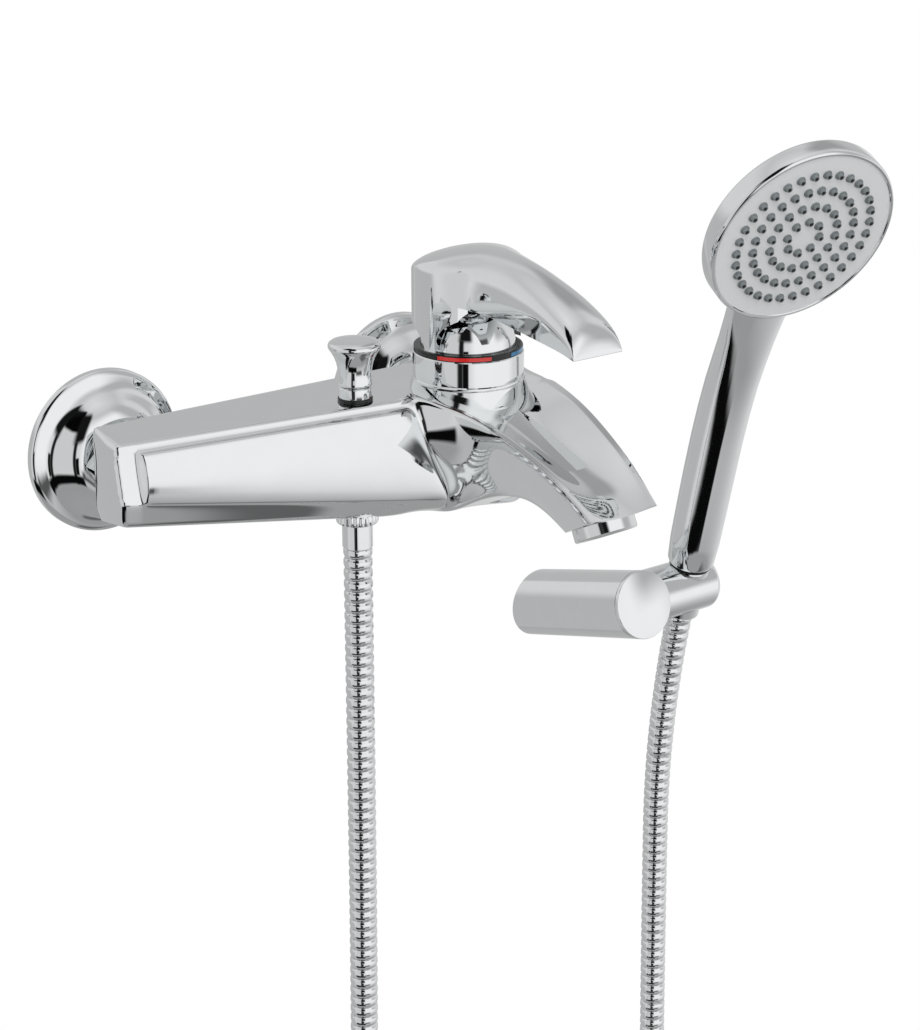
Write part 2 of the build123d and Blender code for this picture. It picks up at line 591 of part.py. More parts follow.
# Hose nut with its knurled collar and ferrule, and the washer above it
nut_stub_top = outlet_face_z + 9.0
hose_nut_profile = [(hose_bore, ferrule_foot_z), (ferrule_radius, ferrule_foot_z),
                    (ferrule_radius, hose_nut_foot_z), (hose_nut_radius - 0.5, hose_nut_foot_z),
                    (hose_nut_radius, hose_nut_foot_z + 0.5), (hose_nut_radius, outlet_face_z - 0.5),
                    (hose_nut_radius - 0.5, outlet_face_z), (outlet_bore, outlet_face_z),
                    (outlet_bore, nut_stub_top), (hose_bore, nut_stub_top)]
hose_nut = turned(hose_nut_profile, here)
knurl_height = outlet_face_z - hose_nut_foot_z
knurl_cuts = [here * (Rot(0, 0, 15.0 * i) * (Pos(hose_nut_radius + 0.4, 0, hose_nut_foot_z) *
              (Rot(0, 0, 45) * Box(1.3, 1.3, knurl_height, align=ROUND)))) for i in range(24)]
save(hose_nut - knurl_cuts, "hose_nut")
save(tube(outlet_bore - 0.2, hose_bore + 1.0, (diverter_x, diverter_y, nut_stub_top),
          (diverter_x, diverter_y, nut_stub_top + washer_thickness)), "hose_washer")

# Wall bracket: anchor, screws, barrel, cap, swivel arm with its axle and friction washer
rise = math.radians(bracket_rise)
barrel_dir = (0.0, -math.cos(rise), math.sin(rise))
barrel_up = (0.0, math.sin(rise), math.cos(rise))
barrel_foot = (bracket_x, 0.0, bracket_z)
barrel_mouth = along(barrel_foot, barrel_dir, barrel_length - bracket_cap_thickness)
behind = along(barrel_foot, barrel_dir, -12.0)
room_side = Pos(bracket_x, -200.0, bracket_z) * Box(400.0, 400.0, 400.0)
barrel = rod(barrel_radius, behind, barrel_mouth) & room_side
barrel_inner = barrel_radius - barrel_wall
anchor_zone_end = along(barrel_foot, barrel_dir, anchor_length + 6.0)
barrel = barrel - rod(barrel_inner, behind, anchor_zone_end)
arm_centre = along(barrel_foot, barrel_dir, barrel_length - arm_setback)
arm_start = (arm_centre[0] + barrel_radius - 2.0, arm_centre[1], arm_centre[2])
arm_end = (arm_centre[0] + arm_reach, arm_centre[1], arm_centre[2])
arm_cut = rod(arm_radius + face_gap, arm_start, arm_end)
barrel = barrel - arm_cut
axle_inner = (arm_centre[0] - 9.0, arm_centre[1], arm_centre[2])
axle_outer = (arm_start[0] + 9.0, arm_centre[1], arm_centre[2])
barrel = barrel - rod(axle_radius + 0.02, axle_inner, axle_outer)
grub_y = along(barrel_foot, barrel_dir, anchor_length * 0.55)
grub_low = tuple(g - barrel_radius * u for g, u in zip(grub_y, barrel_up))
grub_high = tuple(g - (barrel_inner - 2.0) * u for g, u in zip(grub_y, barrel_up))
barrel = barrel - rod(2.0, grub_low, grub_high)
save(barrel, "bracket_barrel")
cap_rim = 0.5
cap_profile = [(0, 0.0), (barrel_radius - 0.3, 0.0), (barrel_radius, 0.3),
               (barrel_radius, bracket_cap_thickness - cap_rim),
               (barrel_radius - cap_rim, bracket_cap_thickness), (0, bracket_cap_thickness)]
cap_place = Plane(origin=barrel_mouth, x_dir=(1, 0, 0), z_dir=barrel_dir)
save(turned(cap_profile, cap_place), "bracket_cap")
anchor = rod(barrel_inner - thread_gap, behind, along(barrel_foot, barrel_dir, anchor_length)) & room_side
screw_places = [(bracket_x, bracket_z + screw_raise - screw_spacing / 2),
                (bracket_x, bracket_z + screw_raise + screw_spacing / 2)]
anchor_face_y = -6.0
anchor = anchor - Pos(bracket_x, anchor_face_y, bracket_z) * Box(
    60.0, 60.0, 60.0, align=(Align.CENTER, Align.MAX, Align.CENTER))
for x, z in screw_places:
    anchor = anchor - rod(screw_radius + 0.2, (x, 1.0, z), (x, -30.0, z))
anchor = anchor + (tube(barrel_inner - thread_gap, barrel_inner - 1.7, behind,
                        along(barrel_foot, barrel_dir, anchor_length)) & room_side)
anchor = anchor - rod(1.6, grub_low, tuple(g - (barrel_inner - 3.5) * u for g, u in zip(grub_y, barrel_up)))
save(anchor, "wall_anchor")
screws = []
for x, z in screw_places:
    place = from_wall(x, z)
    screws.append(turned([(0, -28.0), (screw_radius * 0.4, -26.0), (screw_radius, -22.0),
                          (screw_radius, -anchor_face_y + 0.02), (screw_radius * 1.8, -anchor_face_y + 0.02),
                          (screw_radius * 1.5, -anchor_face_y + 2.0), (0, -anchor_face_y + 2.4)], place))
save(Compound(children=screws), "wall_screws")
save(rod(1.5, tuple(g - (barrel_radius - 0.4) * u for g, u in zip(grub_y, barrel_up)),
         tuple(g - (barrel_inner - 3.2) * u for g, u in zip(grub_y, barrel_up))), "barrel_grub_screw")

# Swivel arm along +X with the cone seat of the hand shower and the slot for the hose
lean = math.radians(handle_lean)
handle_dir = (0.0, -math.sin(lean), math.cos(lean))
handle_front = (0.0, -math.cos(lean), -math.sin(lean))
seat = (arm_centre[0] + seat_offset, arm_centre[1], arm_centre[2])
arm_place = Plane(origin=arm_start, x_dir=(0, 0, 1), z_dir=(1, 0, 0))
arm_length = arm_end[0] - arm_start[0]
arm = turned([(0, 0), (arm_radius, 0), (arm_radius, arm_length - arm_nose),
              (arm_radius - arm_nose * 0.3, arm_length - arm_nose * 0.3),
              (arm_radius - arm_nose, arm_length), (0, arm_length)], arm_place)


def on_handle(distance):
    """A point on the hand shower's axis, from the seat's middle."""
    return along(seat, handle_dir, distance)


cone_fall = (cone_top_radius - cone_foot_radius) / (cone_top - cone_foot)
past = arm_radius + 6.0
arm = arm - cone(cone_foot_radius + seat_gap - cone_fall * (past + cone_foot),
                 cone_top_radius + seat_gap + cone_fall * (past - cone_top), on_handle(-past), on_handle(past))
slot_plane = Plane(origin=seat, x_dir=(1, 0, 0), z_dir=handle_dir)
slot = slot_plane * Pos(0, arm_radius, 0) * Box(slot_width, 2 * arm_radius, 60.0)
arm = arm - slot
axle_bore_end = (axle_outer[0] + 0.2, arm_centre[1], arm_centre[2])
arm = arm - rod(axle_radius + 0.05, arm_start, axle_bore_end)
washer_room = (arm_start[0] + friction_thickness + 0.2, arm_centre[1], arm_centre[2])
arm = arm - rod(friction_radius + 0.2, arm_start, washer_room)
save(arm, "swivel_arm")
washer_head = (arm_start[0] + friction_thickness, arm_centre[1], arm_centre[2])
save(tube(friction_radius, axle_radius + 0.1, arm_start, washer_head), "friction_washer")
save(rod(axle_radius, axle_inner, axle_outer), "arm_axle")

# Cone nut at the end of the hose, its washer and the shower's nipple
cone_nut_profile = [(hose_bore + 0.6, cone_foot), (cone_foot_radius, cone_foot), (cone_top_radius, cone_top),
                    (6.9, cone_top), (6.9, 2.0), (hose_bore + 0.6, 2.0)]
handle_place = Plane(origin=seat, x_dir=(1, 0, 0), z_dir=handle_dir)
save(turned(cone_nut_profile, handle_place), "cone_nut")
save(tube(6.6, 4.6, on_handle(2.0), on_handle(2.0 + washer_thickness)), "cone_washer")
nipple_foot = 2.0 + washer_thickness + 0.1
ring_foot = cone_top + face_gap
ring_head = ring_foot + black_ring_height
save(tube(6.7, 4.4, on_handle(nipple_foot), on_handle(ring_head + 8.0)), "shower_nipple")
save(tube(black_ring_radius, 6.8, on_handle(ring_foot), on_handle(ring_head)), "shower_ring")

# Hand shower: handle lofted into a round head
turn = math.radians(handset_turn)
forward = tuple(math.cos(turn) * f - math.sin(turn) * s for f, s in zip(handle_front, (1.0, 0.0, 0.0)))
sideways = (math.cos(turn), handle_front[1] * math.sin(turn), handle_front[2] * math.sin(turn))
tilt = math.radians(head_tilt)
face_dir = tuple(math.cos(tilt) * h + math.sin(tilt) * f for h, f in zip(handle_dir, forward))
head_centre = along(on_handle(head_up), forward, head_out)
# Stations of the handle: distance up, offset forward, half-width, half-thickness
handle_stations = [(ring_head, 0.0, cone_top_radius + 0.5, cone_top_radius + 0.5),
                   (26.0, 0.0, handle_radius - 0.2, handle_radius - 0.3),
                   (head_up - 133.2, 0.2, handle_radius + 0.1, handle_radius),
                   (head_up - 98.2, 1.4, handle_radius + 0.2, handle_radius - 0.1),
                   (head_up - 71.2, 5.0, handle_radius + 0.7, handle_radius - 0.7),
                   (head_up - 48.2, head_out - 22.9, head_radius * 0.33, 8.7),
                   (head_up - 30.2, head_out - 17.6, head_radius * 0.43, 5.9),
                   (head_up - 15.2, head_out - 12.8, head_radius * 0.50, 4.6)]
handle_faces = []
for up, out, half_width, half_depth in handle_stations:
    centre = along(on_handle(up), forward, out)
    station = Plane(origin=centre, x_dir=sideways, z_dir=handle_dir)
    handle_faces.append(station * Ellipse(half_width, half_depth))
handle = loft(handle_faces)
head_place = Plane(origin=head_centre, x_dir=sideways, z_dir=face_dir)
head_profile = [(0, -rim_depth), (head_radius, -rim_depth), (head_radius, -head_side + 1.0),
                (head_radius - 0.8, -head_side), (head_radius - 5.0, -head_side - 2.6),
                (head_radius - 13.0, -head_side - 5.6), (head_radius - 24.0, -head_dome + 2.6),
                (head_radius - 35.0, -head_dome + 0.5), (0, -head_dome)]
shell = handle + turned(head_profile, head_place)
shell = shell - rod(6.8, on_handle(ring_head - 1.0), on_handle(ring_head + 8.1))
chamber_radius = plate_radius - 3.0
shell = shell - head_place * (Pos(0, 0, -rim_depth - 4.0) * Cylinder(chamber_radius, 6.0, align=ROUND))
waterway_turn = along(on_handle(head_up - 73.2), forward, 3.6)
waterway_head = along(on_handle(head_up - 27.2), forward, head_out - 13.6)
for start, end in ((on_handle(ring_head), waterway_turn), (waterway_turn, waterway_head),
                   (waterway_head, along(waterway_head, face_dir, 8.0))):
    shell = shell - rod(waterway_radius, start, end)
save(shell, "shower_shell")
rim_profile = [(plate_radius + 0.1, -rim_depth), (head_radius, -rim_depth), (head_radius, -0.9),
               (head_radius - 0.9, 0.0), (plate_radius + 0.1, -0.3)]
save(turned(rim_profile, head_place), "shower_rim")
plate_front = -0.7
plate_back = plate_front - plate_thickness
nozzle_spots = []
for ring_number in range(1, nozzle_rings + 1):
    for index in range(8 * ring_number):
        angle = 2 * math.pi * index / (8 * ring_number)
        nozzle_spots.append((nozzle_pitch * ring_number * math.cos(angle),
                             nozzle_pitch * ring_number * math.sin(angle)))
plate_holes = Sketch() + [Pos(px, py) * RegularPolygon(nozzle_radius + 0.1, 6) for px, py in nozzle_spots]
plate_face = Circle(plate_radius) - plate_holes
save(head_place * (Pos(0, 0, plate_back) * extrude(plate_face, plate_thickness)), "spray_plate")
mat_front = plate_back - 0.02
mat_thickness = 1.6
nozzle_pins = Sketch() + [Pos(px, py) * RegularPolygon(nozzle_radius, 6) for px, py in nozzle_spots]
mat = Pos(0, 0, mat_front - mat_thickness) * Cylinder(chamber_radius - 0.2, mat_thickness, align=ROUND)
pins = Pos(0, 0, mat_front - 0.4) * extrude(nozzle_pins, plate_front - mat_front + 0.4 + nozzle_stand)
save(head_place * (mat + pins), "spray_nozzles")

# Hose: it hangs from the mixer in one long bight and rises to the cone nut
hose_top = (diverter_x, diverter_y, ferrule_foot_z)
hose_end = on_handle(cone_foot)
hose_points = [hose_top, (diverter_x, diverter_y, -150.0), (13.0, -56.0, -306.0), (11.0, -54.0, -462.0),
               (12.0, -51.0, -649.0), (198.5, -50.0, -649.0), (199.4, -48.0, -466.0), (198.1, -46.0, -290.0),
               along(hose_end, handle_dir, -62.0), hose_end]


def corner_radii(points):
    """Each corner's radius from the shorter of its two runs and its turn."""
    radii = []
    for before, at, after in zip(points, points[1:], points[2:]):
        first = Vector(*at) - Vector(*before)
        second = Vector(*after) - Vector(*at)
        half_turn = math.radians(first.get_angle(second)) / 2
        radii.append(0.45 * min(first.length, second.length) / math.tan(half_turn))
    return radii


hose_radii = corner_radii(hose_points)
hose_path = FilletPolyline(*hose_points, radius=hose_radii)
print("hose length", round(hose_path.length, 1), "radii", [round(r, 1) for r in hose_radii])


def hose_circle(distance, radius):
    """A circle square to the hose at a distance along it."""
    share = distance / hose_path.length
    heading = hose_path % share
    steady = Vector(0, 1, 0)
    return Plane(origin=hose_path @ share, x_dir=steady - heading * steady.dot(heading), z_dir=heading) * Circle(radius)


# The hose's wound steel strip shows as ribs: each is a groove's two walls, its floor and a flat crown
rib_pitch = (hose_path.length - 4 * hose_radius) / hose_ribs
hose_circles = [hose_circle(0.0, hose_radius)]
for rib in range(hose_ribs):
    for share, radius in ((0.0, hose_radius), (0.10, hose_radius - hose_groove),
                          (0.26, hose_radius - hose_groove), (0.36, hose_radius)):
        hose_circles.append(hose_circle(2 * hose_radius + (rib + share) * rib_pitch, radius))
hose_circles.append(hose_circle(hose_path.length, hose_radius))
hose = loft(hose_circles, ruled=True)
print("hose volume", round(hose.volume), "section times length",
      round(math.pi * hose_radius ** 2 * hose_path.length))
hose = hose - sweep(Plane(origin=hose_points[0], z_dir=hose_path % 0) * Circle(hose_bore), path=hose_path)
save(hose, "shower_hose")
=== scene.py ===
import math

import bmesh
import bpy
from mathutils import Matrix, Vector


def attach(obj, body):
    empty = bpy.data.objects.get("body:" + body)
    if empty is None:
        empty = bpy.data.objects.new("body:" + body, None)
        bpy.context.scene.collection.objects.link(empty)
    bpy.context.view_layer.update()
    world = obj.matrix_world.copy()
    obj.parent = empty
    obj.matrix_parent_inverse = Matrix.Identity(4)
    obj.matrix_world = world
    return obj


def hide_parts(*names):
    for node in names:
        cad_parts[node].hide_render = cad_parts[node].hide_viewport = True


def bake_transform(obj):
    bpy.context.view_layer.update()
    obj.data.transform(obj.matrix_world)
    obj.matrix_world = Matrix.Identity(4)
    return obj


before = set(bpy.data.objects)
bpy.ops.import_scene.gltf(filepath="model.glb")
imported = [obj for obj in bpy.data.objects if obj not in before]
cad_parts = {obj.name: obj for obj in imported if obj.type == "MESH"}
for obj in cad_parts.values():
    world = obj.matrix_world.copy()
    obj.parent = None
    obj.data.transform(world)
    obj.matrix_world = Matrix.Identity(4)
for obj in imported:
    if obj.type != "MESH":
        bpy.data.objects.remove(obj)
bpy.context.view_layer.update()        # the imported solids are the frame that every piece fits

bl_info = {
    "name": "Bath mixer with hand shower",
    "version": (1, 0, 0),
    "blender": (4, 5, 0),
    "location": "View3D > Sidebar > Bath mixer",
    "description": "Builds a wall-mounted bath mixer with its hose, holder and hand shower",
    "category": "Object",
}

MM = 0.001

# Places of the assembly, in millimetres, on the wall plane Y = 0 between the two inlets
INLET_X = 75.0
SPOUT_X = 71.0
TOWER_Y = -58.8
DIVERTER = (11.5, -59.5)
BRACKET = (159.2, 0.0, -123.4)
BRACKET_RISE = math.radians(15.9)
BARREL_LENGTH = 80.0
ARM_SETBACK = 16.0
SEAT_OFFSET = 39.5
HANDLE_LEAN = math.radians(12.8)
HANDSET_TURN = math.radians(10.9)
HEAD_TILT = math.radians(102.8)
HEAD_UP = 193.2
HEAD_OUT = 32.2
TIP = (71.0, -148.0, -22.7)
TIP_TILT = math.radians(27.0)
PIVOT_Z = 22.0
STEM_LEAN = math.radians(11.0)
HOOD_RADIUS = 24.0
HOOD_WALL = 2.2


class MixerSizes(bpy.types.PropertyGroup):
    """Sizes of the visible shells, in metres."""
    rosette_radius: bpy.props.FloatProperty(
        name="Rosette radius", description="Outer radius of a wall rosette",
        default=0.0343, unit="LENGTH")
    rosette_depth: bpy.props.FloatProperty(
        name="Rosette depth", description="How far a rosette's dome stands out",
        default=0.0172, unit="LENGTH")
    sleeve_radius: bpy.props.FloatProperty(
        name="Sleeve radius", description="Outer radius of the sleeve under the lever",
        default=0.0238, unit="LENGTH")
    barrel_radius: bpy.props.FloatProperty(
        name="Barrel radius", description="Outer radius of the bracket's barrel",
        default=0.0159, unit="LENGTH")
    arm_radius: bpy.props.FloatProperty(
        name="Arm radius", description="Outer radius of the swivel arm",
        default=0.0128, unit="LENGTH")
    head_radius: bpy.props.FloatProperty(
        name="Head radius", description="Outer radius of the hand shower's head",
        default=0.0440, unit="LENGTH")
    plate_radius: bpy.props.FloatProperty(
        name="Spray plate radius", description="Radius of the spray plate",
        default=0.0419, unit="LENGTH")
    hose_radius: bpy.props.FloatProperty(
        name="Hose radius", description="Outer radius of the hose over its ribs",
        default=0.0062, unit="LENGTH")
    rib_pitch: bpy.props.FloatProperty(
        name="Rib pitch", description="Length of hose from one rib to the next",
        default=0.0049, unit="LENGTH")


class FinishColours(bpy.types.PropertyGroup):
    """Colours of the finishes, as sRGB hex values."""
    chrome: bpy.props.StringProperty(
        name="Chrome", description="Polished chrome plating", default="E9EBEC")
    satin: bpy.props.StringProperty(
        name="Satin plate", description="Satin plated spray plate", default="EDEEEF")
    steel: bpy.props.StringProperty(
        name="Steel", description="Turned steel", default="B9BBBD")
    brass: bpy.props.StringProperty(
        name="Brass", description="Turned brass", default="C9A65E")
    black: bpy.props.StringProperty(
        name="Black rings", description="Moulded black rings", default="0A0B0C")
    red: bpy.props.StringProperty(
        name="Hot mark", description="Red enamel", default="CF2A25")
    blue: bpy.props.StringProperty(
        name="Cold mark", description="Blue enamel", default="1B7DB4")
    nozzle: bpy.props.StringProperty(
        name="Nozzles", description="Grey silicone nozzles", default="7E8486")
    plastic: bpy.props.StringProperty(
        name="White plastic", description="Moulded acetal parts", default="DAD9D4")
    ceramic: bpy.props.StringProperty(
        name="Ceramic", description="Lapped alumina discs", default="EDEBE4")


class StudioSettings(bpy.types.PropertyGroup):
    """The camera's lens and the levels of the lamp and the studio."""
    focal: bpy.props.FloatProperty(
        name="Focal length", description="Lens in millimetres on a sensor 36 mm high", default=85.73,
        unit="CAMERA")
    key: bpy.props.FloatProperty(
        name="Key light", description="Power of the key light in watts", default=24.0, unit="POWER")
    world: bpy.props.FloatProperty(
        name="World level", description="Strength of the grey studio that lights the object", default=1.0)


# Small helpers

def mm(x, y, z):
    """A point in metres from millimetres."""
    return Vector((x * MM, y * MM, z * MM))


def frame_at(origin, z_axis, x_axis=(1.0, 0.0, 0.0)):
    """A matrix whose third axis follows a direction and whose origin is given in millimetres."""
    z_dir = Vector(z_axis).normalized()
    x_dir = Vector(x_axis)
    x_dir = (x_dir - z_dir * x_dir.dot(z_dir)).normalized()
    y_dir = z_dir.cross(x_dir)
    turn = Matrix((x_dir, y_dir, z_dir)).transposed().to_4x4()
    return Matrix.Translation(mm(*origin)) @ turn


def linear(hex_value):
    """An sRGB hex colour as linear values with alpha."""
    parts = [int(hex_value[i:i + 2], 16) / 255 for i in (0, 2, 4)]
    curve = [c / 12.92 if c <= 0.04045 else ((c + 0.055) / 1.055) ** 2.4 for c in parts]
    return (*curve, 1.0)


def add_node(tree, kind, settings=(), inputs=(), **links):
    """Add a shader node with its settings, input values and incoming links."""
    node = tree.nodes.new(kind)
    for key, value in dict(settings).items():
        setattr(node, key, value)
    for key, value in dict(inputs).items():
        node.inputs[key].default_value = value
    for key, source in links.items():
        tree.links.new(source, node.inputs[key.replace("_", " ")])
    return node


def finish_object(name, mesh, material, body, replaced=(), smooth=math.radians(32)):
    """Make an object of a mesh, give it its material and put it on a body."""
    for face in mesh.polygons:
        face.use_smooth = True
    mesh.set_sharp_from_angle(angle=smooth)
    item = bpy.data.objects.new(name, mesh)
    bpy.context.scene.collection.objects.link(item)
    mesh.materials.clear()
    mesh.materials.append(material)
    if body:
        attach(item, body)
    if replaced:
        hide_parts(*replaced)
    return item


def close_mesh(bm, name):
    """Merge doubles, turn the faces outwards and return the mesh."""
    bmesh.ops.remove_doubles(bm, verts=bm.verts, dist=2e-6)
    bmesh.ops.recalc_face_normals(bm, faces=bm.faces)
    mesh = bpy.data.meshes.new(name)
    bm.to_mesh(mesh)
    bm.free()
    return mesh


def add_spin(bm, profile, place, steps=96):
    """Spin a closed profile of (radius, height) points, in millimetres, about a matrix's third axis."""
    ring = [bm.verts.new(place @ mm(radius, 0, height)) for radius, height in profile]
    edges = [bm.edges.new((ring[i], ring[(i + 1) % len(ring)])) for i in range(len(ring))]
    axis = place.to_3x3() @ Vector((0, 0, 1))
    bmesh.ops.spin(bm, geom=ring + edges, cent=place.translation, axis=axis, angle=2 * math.pi,
                   steps=steps, use_merge=True)
    bmesh.ops.remove_doubles(bm, verts=bm.verts, dist=1e-6)


def soften(bm, width, angle=30.0, segments=3):
    """Round every edge sharper than an angle."""
    edges = [e for e in bm.edges if len(e.link_faces) == 2 and e.calc_face_angle(0) > math.radians(angle)]
    bmesh.ops.bevel(bm, geom=edges, offset=width * MM, offset_type="OFFSET", segments=segments, profile=0.5,
                    affect="EDGES", material=-1, clamp_overlap=True)


def turned_mesh(name, profile, place, edge=0.0, steps=96):
    """A turned piece, with its edges rounded by a radius in millimetres."""
    bm = bmesh.new()
    add_spin(bm, profile, place, steps)
    bmesh.ops.recalc_face_normals(bm, faces=bm.faces)
    if edge:
        soften(bm, edge)
    return close_mesh(bm, name)


def bridged_mesh(name, rings, capped=True):
    """A closed shell through rings of points in metres, all with the same count."""
    bm = bmesh.new()
    loops = []
    for ring in rings:
        verts = [bm.verts.new(point) for point in ring]
        loops.append([bm.edges.new((verts[i], verts[(i + 1) % len(verts)])) for i in range(len(verts))])
    for first, second in zip(loops, loops[1:]):
        bmesh.ops.bridge_loops(bm, edges=first + second)
    if capped:
        bmesh.ops.holes_fill(bm, edges=loops[0] + loops[-1], sides=0)
    return close_mesh(bm, name)


def combined(name, mesh, others, operation="DIFFERENCE"):
    """A mesh cut by or joined with other meshes, one after another."""
    base = bpy.data.objects.new(name, mesh)
    bpy.context.scene.collection.objects.link(base)
    helpers = []
    for index, other in enumerate(others):
        helper = bpy.data.objects.new(name + "_tool_%d" % index, other)
        bpy.context.scene.collection.objects.link(helper)
        helpers.append(helper)
        cut = base.modifiers.new("cut_%d" % index, "BOOLEAN")
        cut.operation = operation
        cut.solver = "EXACT"
        cut.object = helper
    result = bpy.data.meshes.new_from_object(base.evaluated_get(bpy.context.evaluated_depsgraph_get()))
    for item in [base] + helpers:
        bpy.data.objects.remove(item)
    result.name = name
    return result


def rod_mesh(name, radius, start, end, steps=64):
    """A plain round bar between two points, used as a cutter or joined to another shape."""
    span = Vector(end) - Vector(start)
    side = (1.0, 0.0, 0.0) if abs(span.normalized().x) < 0.9 else (0.0, 1.0, 0.0)
    place = frame_at(start, span, side)
    bm = bmesh.new()
    bmesh.ops.create_cone(bm, cap_ends=True, segments=steps, radius1=radius * MM, radius2=radius * MM,
                          depth=span.length * MM,
                          matrix=place @ Matrix.Translation((0, 0, span.length * MM / 2)))
    return close_mesh(bm, name)


def superellipse(squareness, steps=72):
    """Points of a unit ring between a circle and a square."""
    points = []
    for step in range(steps):
        angle = 2 * math.pi * step / steps
        points.append(tuple(math.copysign(abs(part) ** (2 / squareness), part)
                            for part in (math.cos(angle), math.sin(angle))))
    return points


def drawn_mesh(name, outline, place, length):
    """An outline in millimetres drawn out along a matrix's third axis."""
    bm = bmesh.new()
    face = bm.faces.new([bm.verts.new(place @ mm(across, up, 0.0)) for across, up in outline])
    drawn = bmesh.ops.extrude_face_region(bm, geom=[face])
    reach = place.to_3x3() @ Vector((0.0, 0.0, length * MM))
    bmesh.ops.translate(bm, vec=reach, verts=[g for g in drawn["geom"] if isinstance(g, bmesh.types.BMVert)])
    return close_mesh(bm, name)


def angles(count):
    """Angles once round a circle."""
    return [2 * math.pi * k / count for k in range(count)]


def along(origin, direction, distance):
    """A point in millimetres at a distance along a direction."""
    return tuple(o + distance * d for o, d in zip(origin, direction))


def look_up(table, at):
    """A value between the (place, value) pairs of a table, on a smooth curve through them."""
    pairs = sorted(table)
    if at <= pairs[0][0]:
        return pairs[0][1]
    for (a, va), (b, vb) in zip(pairs, pairs[1:]):
        if at <= b:
            index = pairs.index((a, va))
            before = pairs[index - 1] if index > 0 else (a, va)
            after = pairs[index + 2] if index + 2 < len(pairs) else (b, vb)
            slope_a = (vb - before[1]) / (b - before[0])
            slope_b = (after[1] - va) / (after[0] - a)
            t = (at - a) / (b - a)
            span = b - a
            return ((2 * t ** 3 - 3 * t ** 2 + 1) * va + (t ** 3 - 2 * t ** 2 + t) * span * slope_a
                    + (-2 * t ** 3 + 3 * t ** 2) * vb + (t ** 3 - t ** 2) * span * slope_b)
    return pairs[-1][1]


# Directions of the bracket and the hand shower
BARREL_DIR = (0.0, -math.cos(BRACKET_RISE), math.sin(BRACKET_RISE))
ARM_CENTRE = along(BRACKET, BARREL_DIR, BARREL_LENGTH - ARM_SETBACK)
SEAT = (ARM_CENTRE[0] + SEAT_OFFSET, ARM_CENTRE[1], ARM_CENTRE[2])
HANDLE_DIR = (0.0, -math.sin(HANDLE_LEAN), math.cos(HANDLE_LEAN))
HANDLE_FRONT = (-math.sin(HANDSET_TURN), -math.cos(HANDLE_LEAN) * math.cos(HANDSET_TURN),
                -math.sin(HANDLE_LEAN) * math.cos(HANDSET_TURN))
HANDLE_SIDE = tuple(Vector(HANDLE_FRONT).cross(Vector(HANDLE_DIR)))
FACE_DIR = tuple(math.cos(HEAD_TILT) * h + math.sin(HEAD_TILT) * f for h, f in zip(HANDLE_DIR, HANDLE_FRONT))
HEAD_CENTRE = along(along(SEAT, HANDLE_DIR, HEAD_UP), HANDLE_FRONT, HEAD_OUT)
TIP_NORMAL = (0.0, -math.sin(TIP_TILT), -math.cos(TIP_TILT))


# Materials

# Span of the noise that a finish's grain is drawn from
GRAIN_LOW = 0.3
GRAIN_HIGH = 0.7


def surface(name, colour, metallic, roughness, grain_mm, bump=0.0, spread=0.0, coat=0.0):
    """A finish whose fine grain varies its colour, its roughness and its surface a little."""
    material = bpy.data.materials.new(name)
    material.use_nodes = True
    tree = material.node_tree
    shader = tree.nodes["Principled BSDF"]
    shader.inputs["Metallic"].default_value = metallic
    shader.inputs["Coat Weight"].default_value = coat
    place = add_node(tree, "ShaderNodeTexCoord")
    grain = add_node(tree, "ShaderNodeTexNoise", inputs={"Scale": 1.0 / (grain_mm * MM), "Detail": 3.0},
                     Vector=place.outputs["Object"])
    tone = add_node(tree, "ShaderNodeValToRGB", Fac=grain.outputs["Fac"])
    base = linear(colour)
    dark, light = tone.color_ramp.elements
    dark.position = GRAIN_LOW
    dark.color = (base[0] * (1 - spread), base[1] * (1 - spread), base[2] * (1 - spread), 1)
    light.position = GRAIN_HIGH
    light.color = base
    tree.links.new(tone.outputs["Color"], shader.inputs["Base Color"])
    rough = add_node(tree, "ShaderNodeMapRange", Value=grain.outputs["Fac"],
                     inputs={"From Min": GRAIN_LOW, "From Max": GRAIN_HIGH,
                             "To Min": roughness * 0.8, "To Max": roughness * 1.2})
    tree.links.new(rough.outputs["Result"], shader.inputs["Roughness"])
    if bump:
        relief = add_node(tree, "ShaderNodeBump", inputs={"Strength": 0.4, "Distance": bump * MM},
                          Height=grain.outputs["Fac"])
        tree.links.new(relief.outputs["Normal"], shader.inputs["Normal"])
    return material


MATERIALS = {}


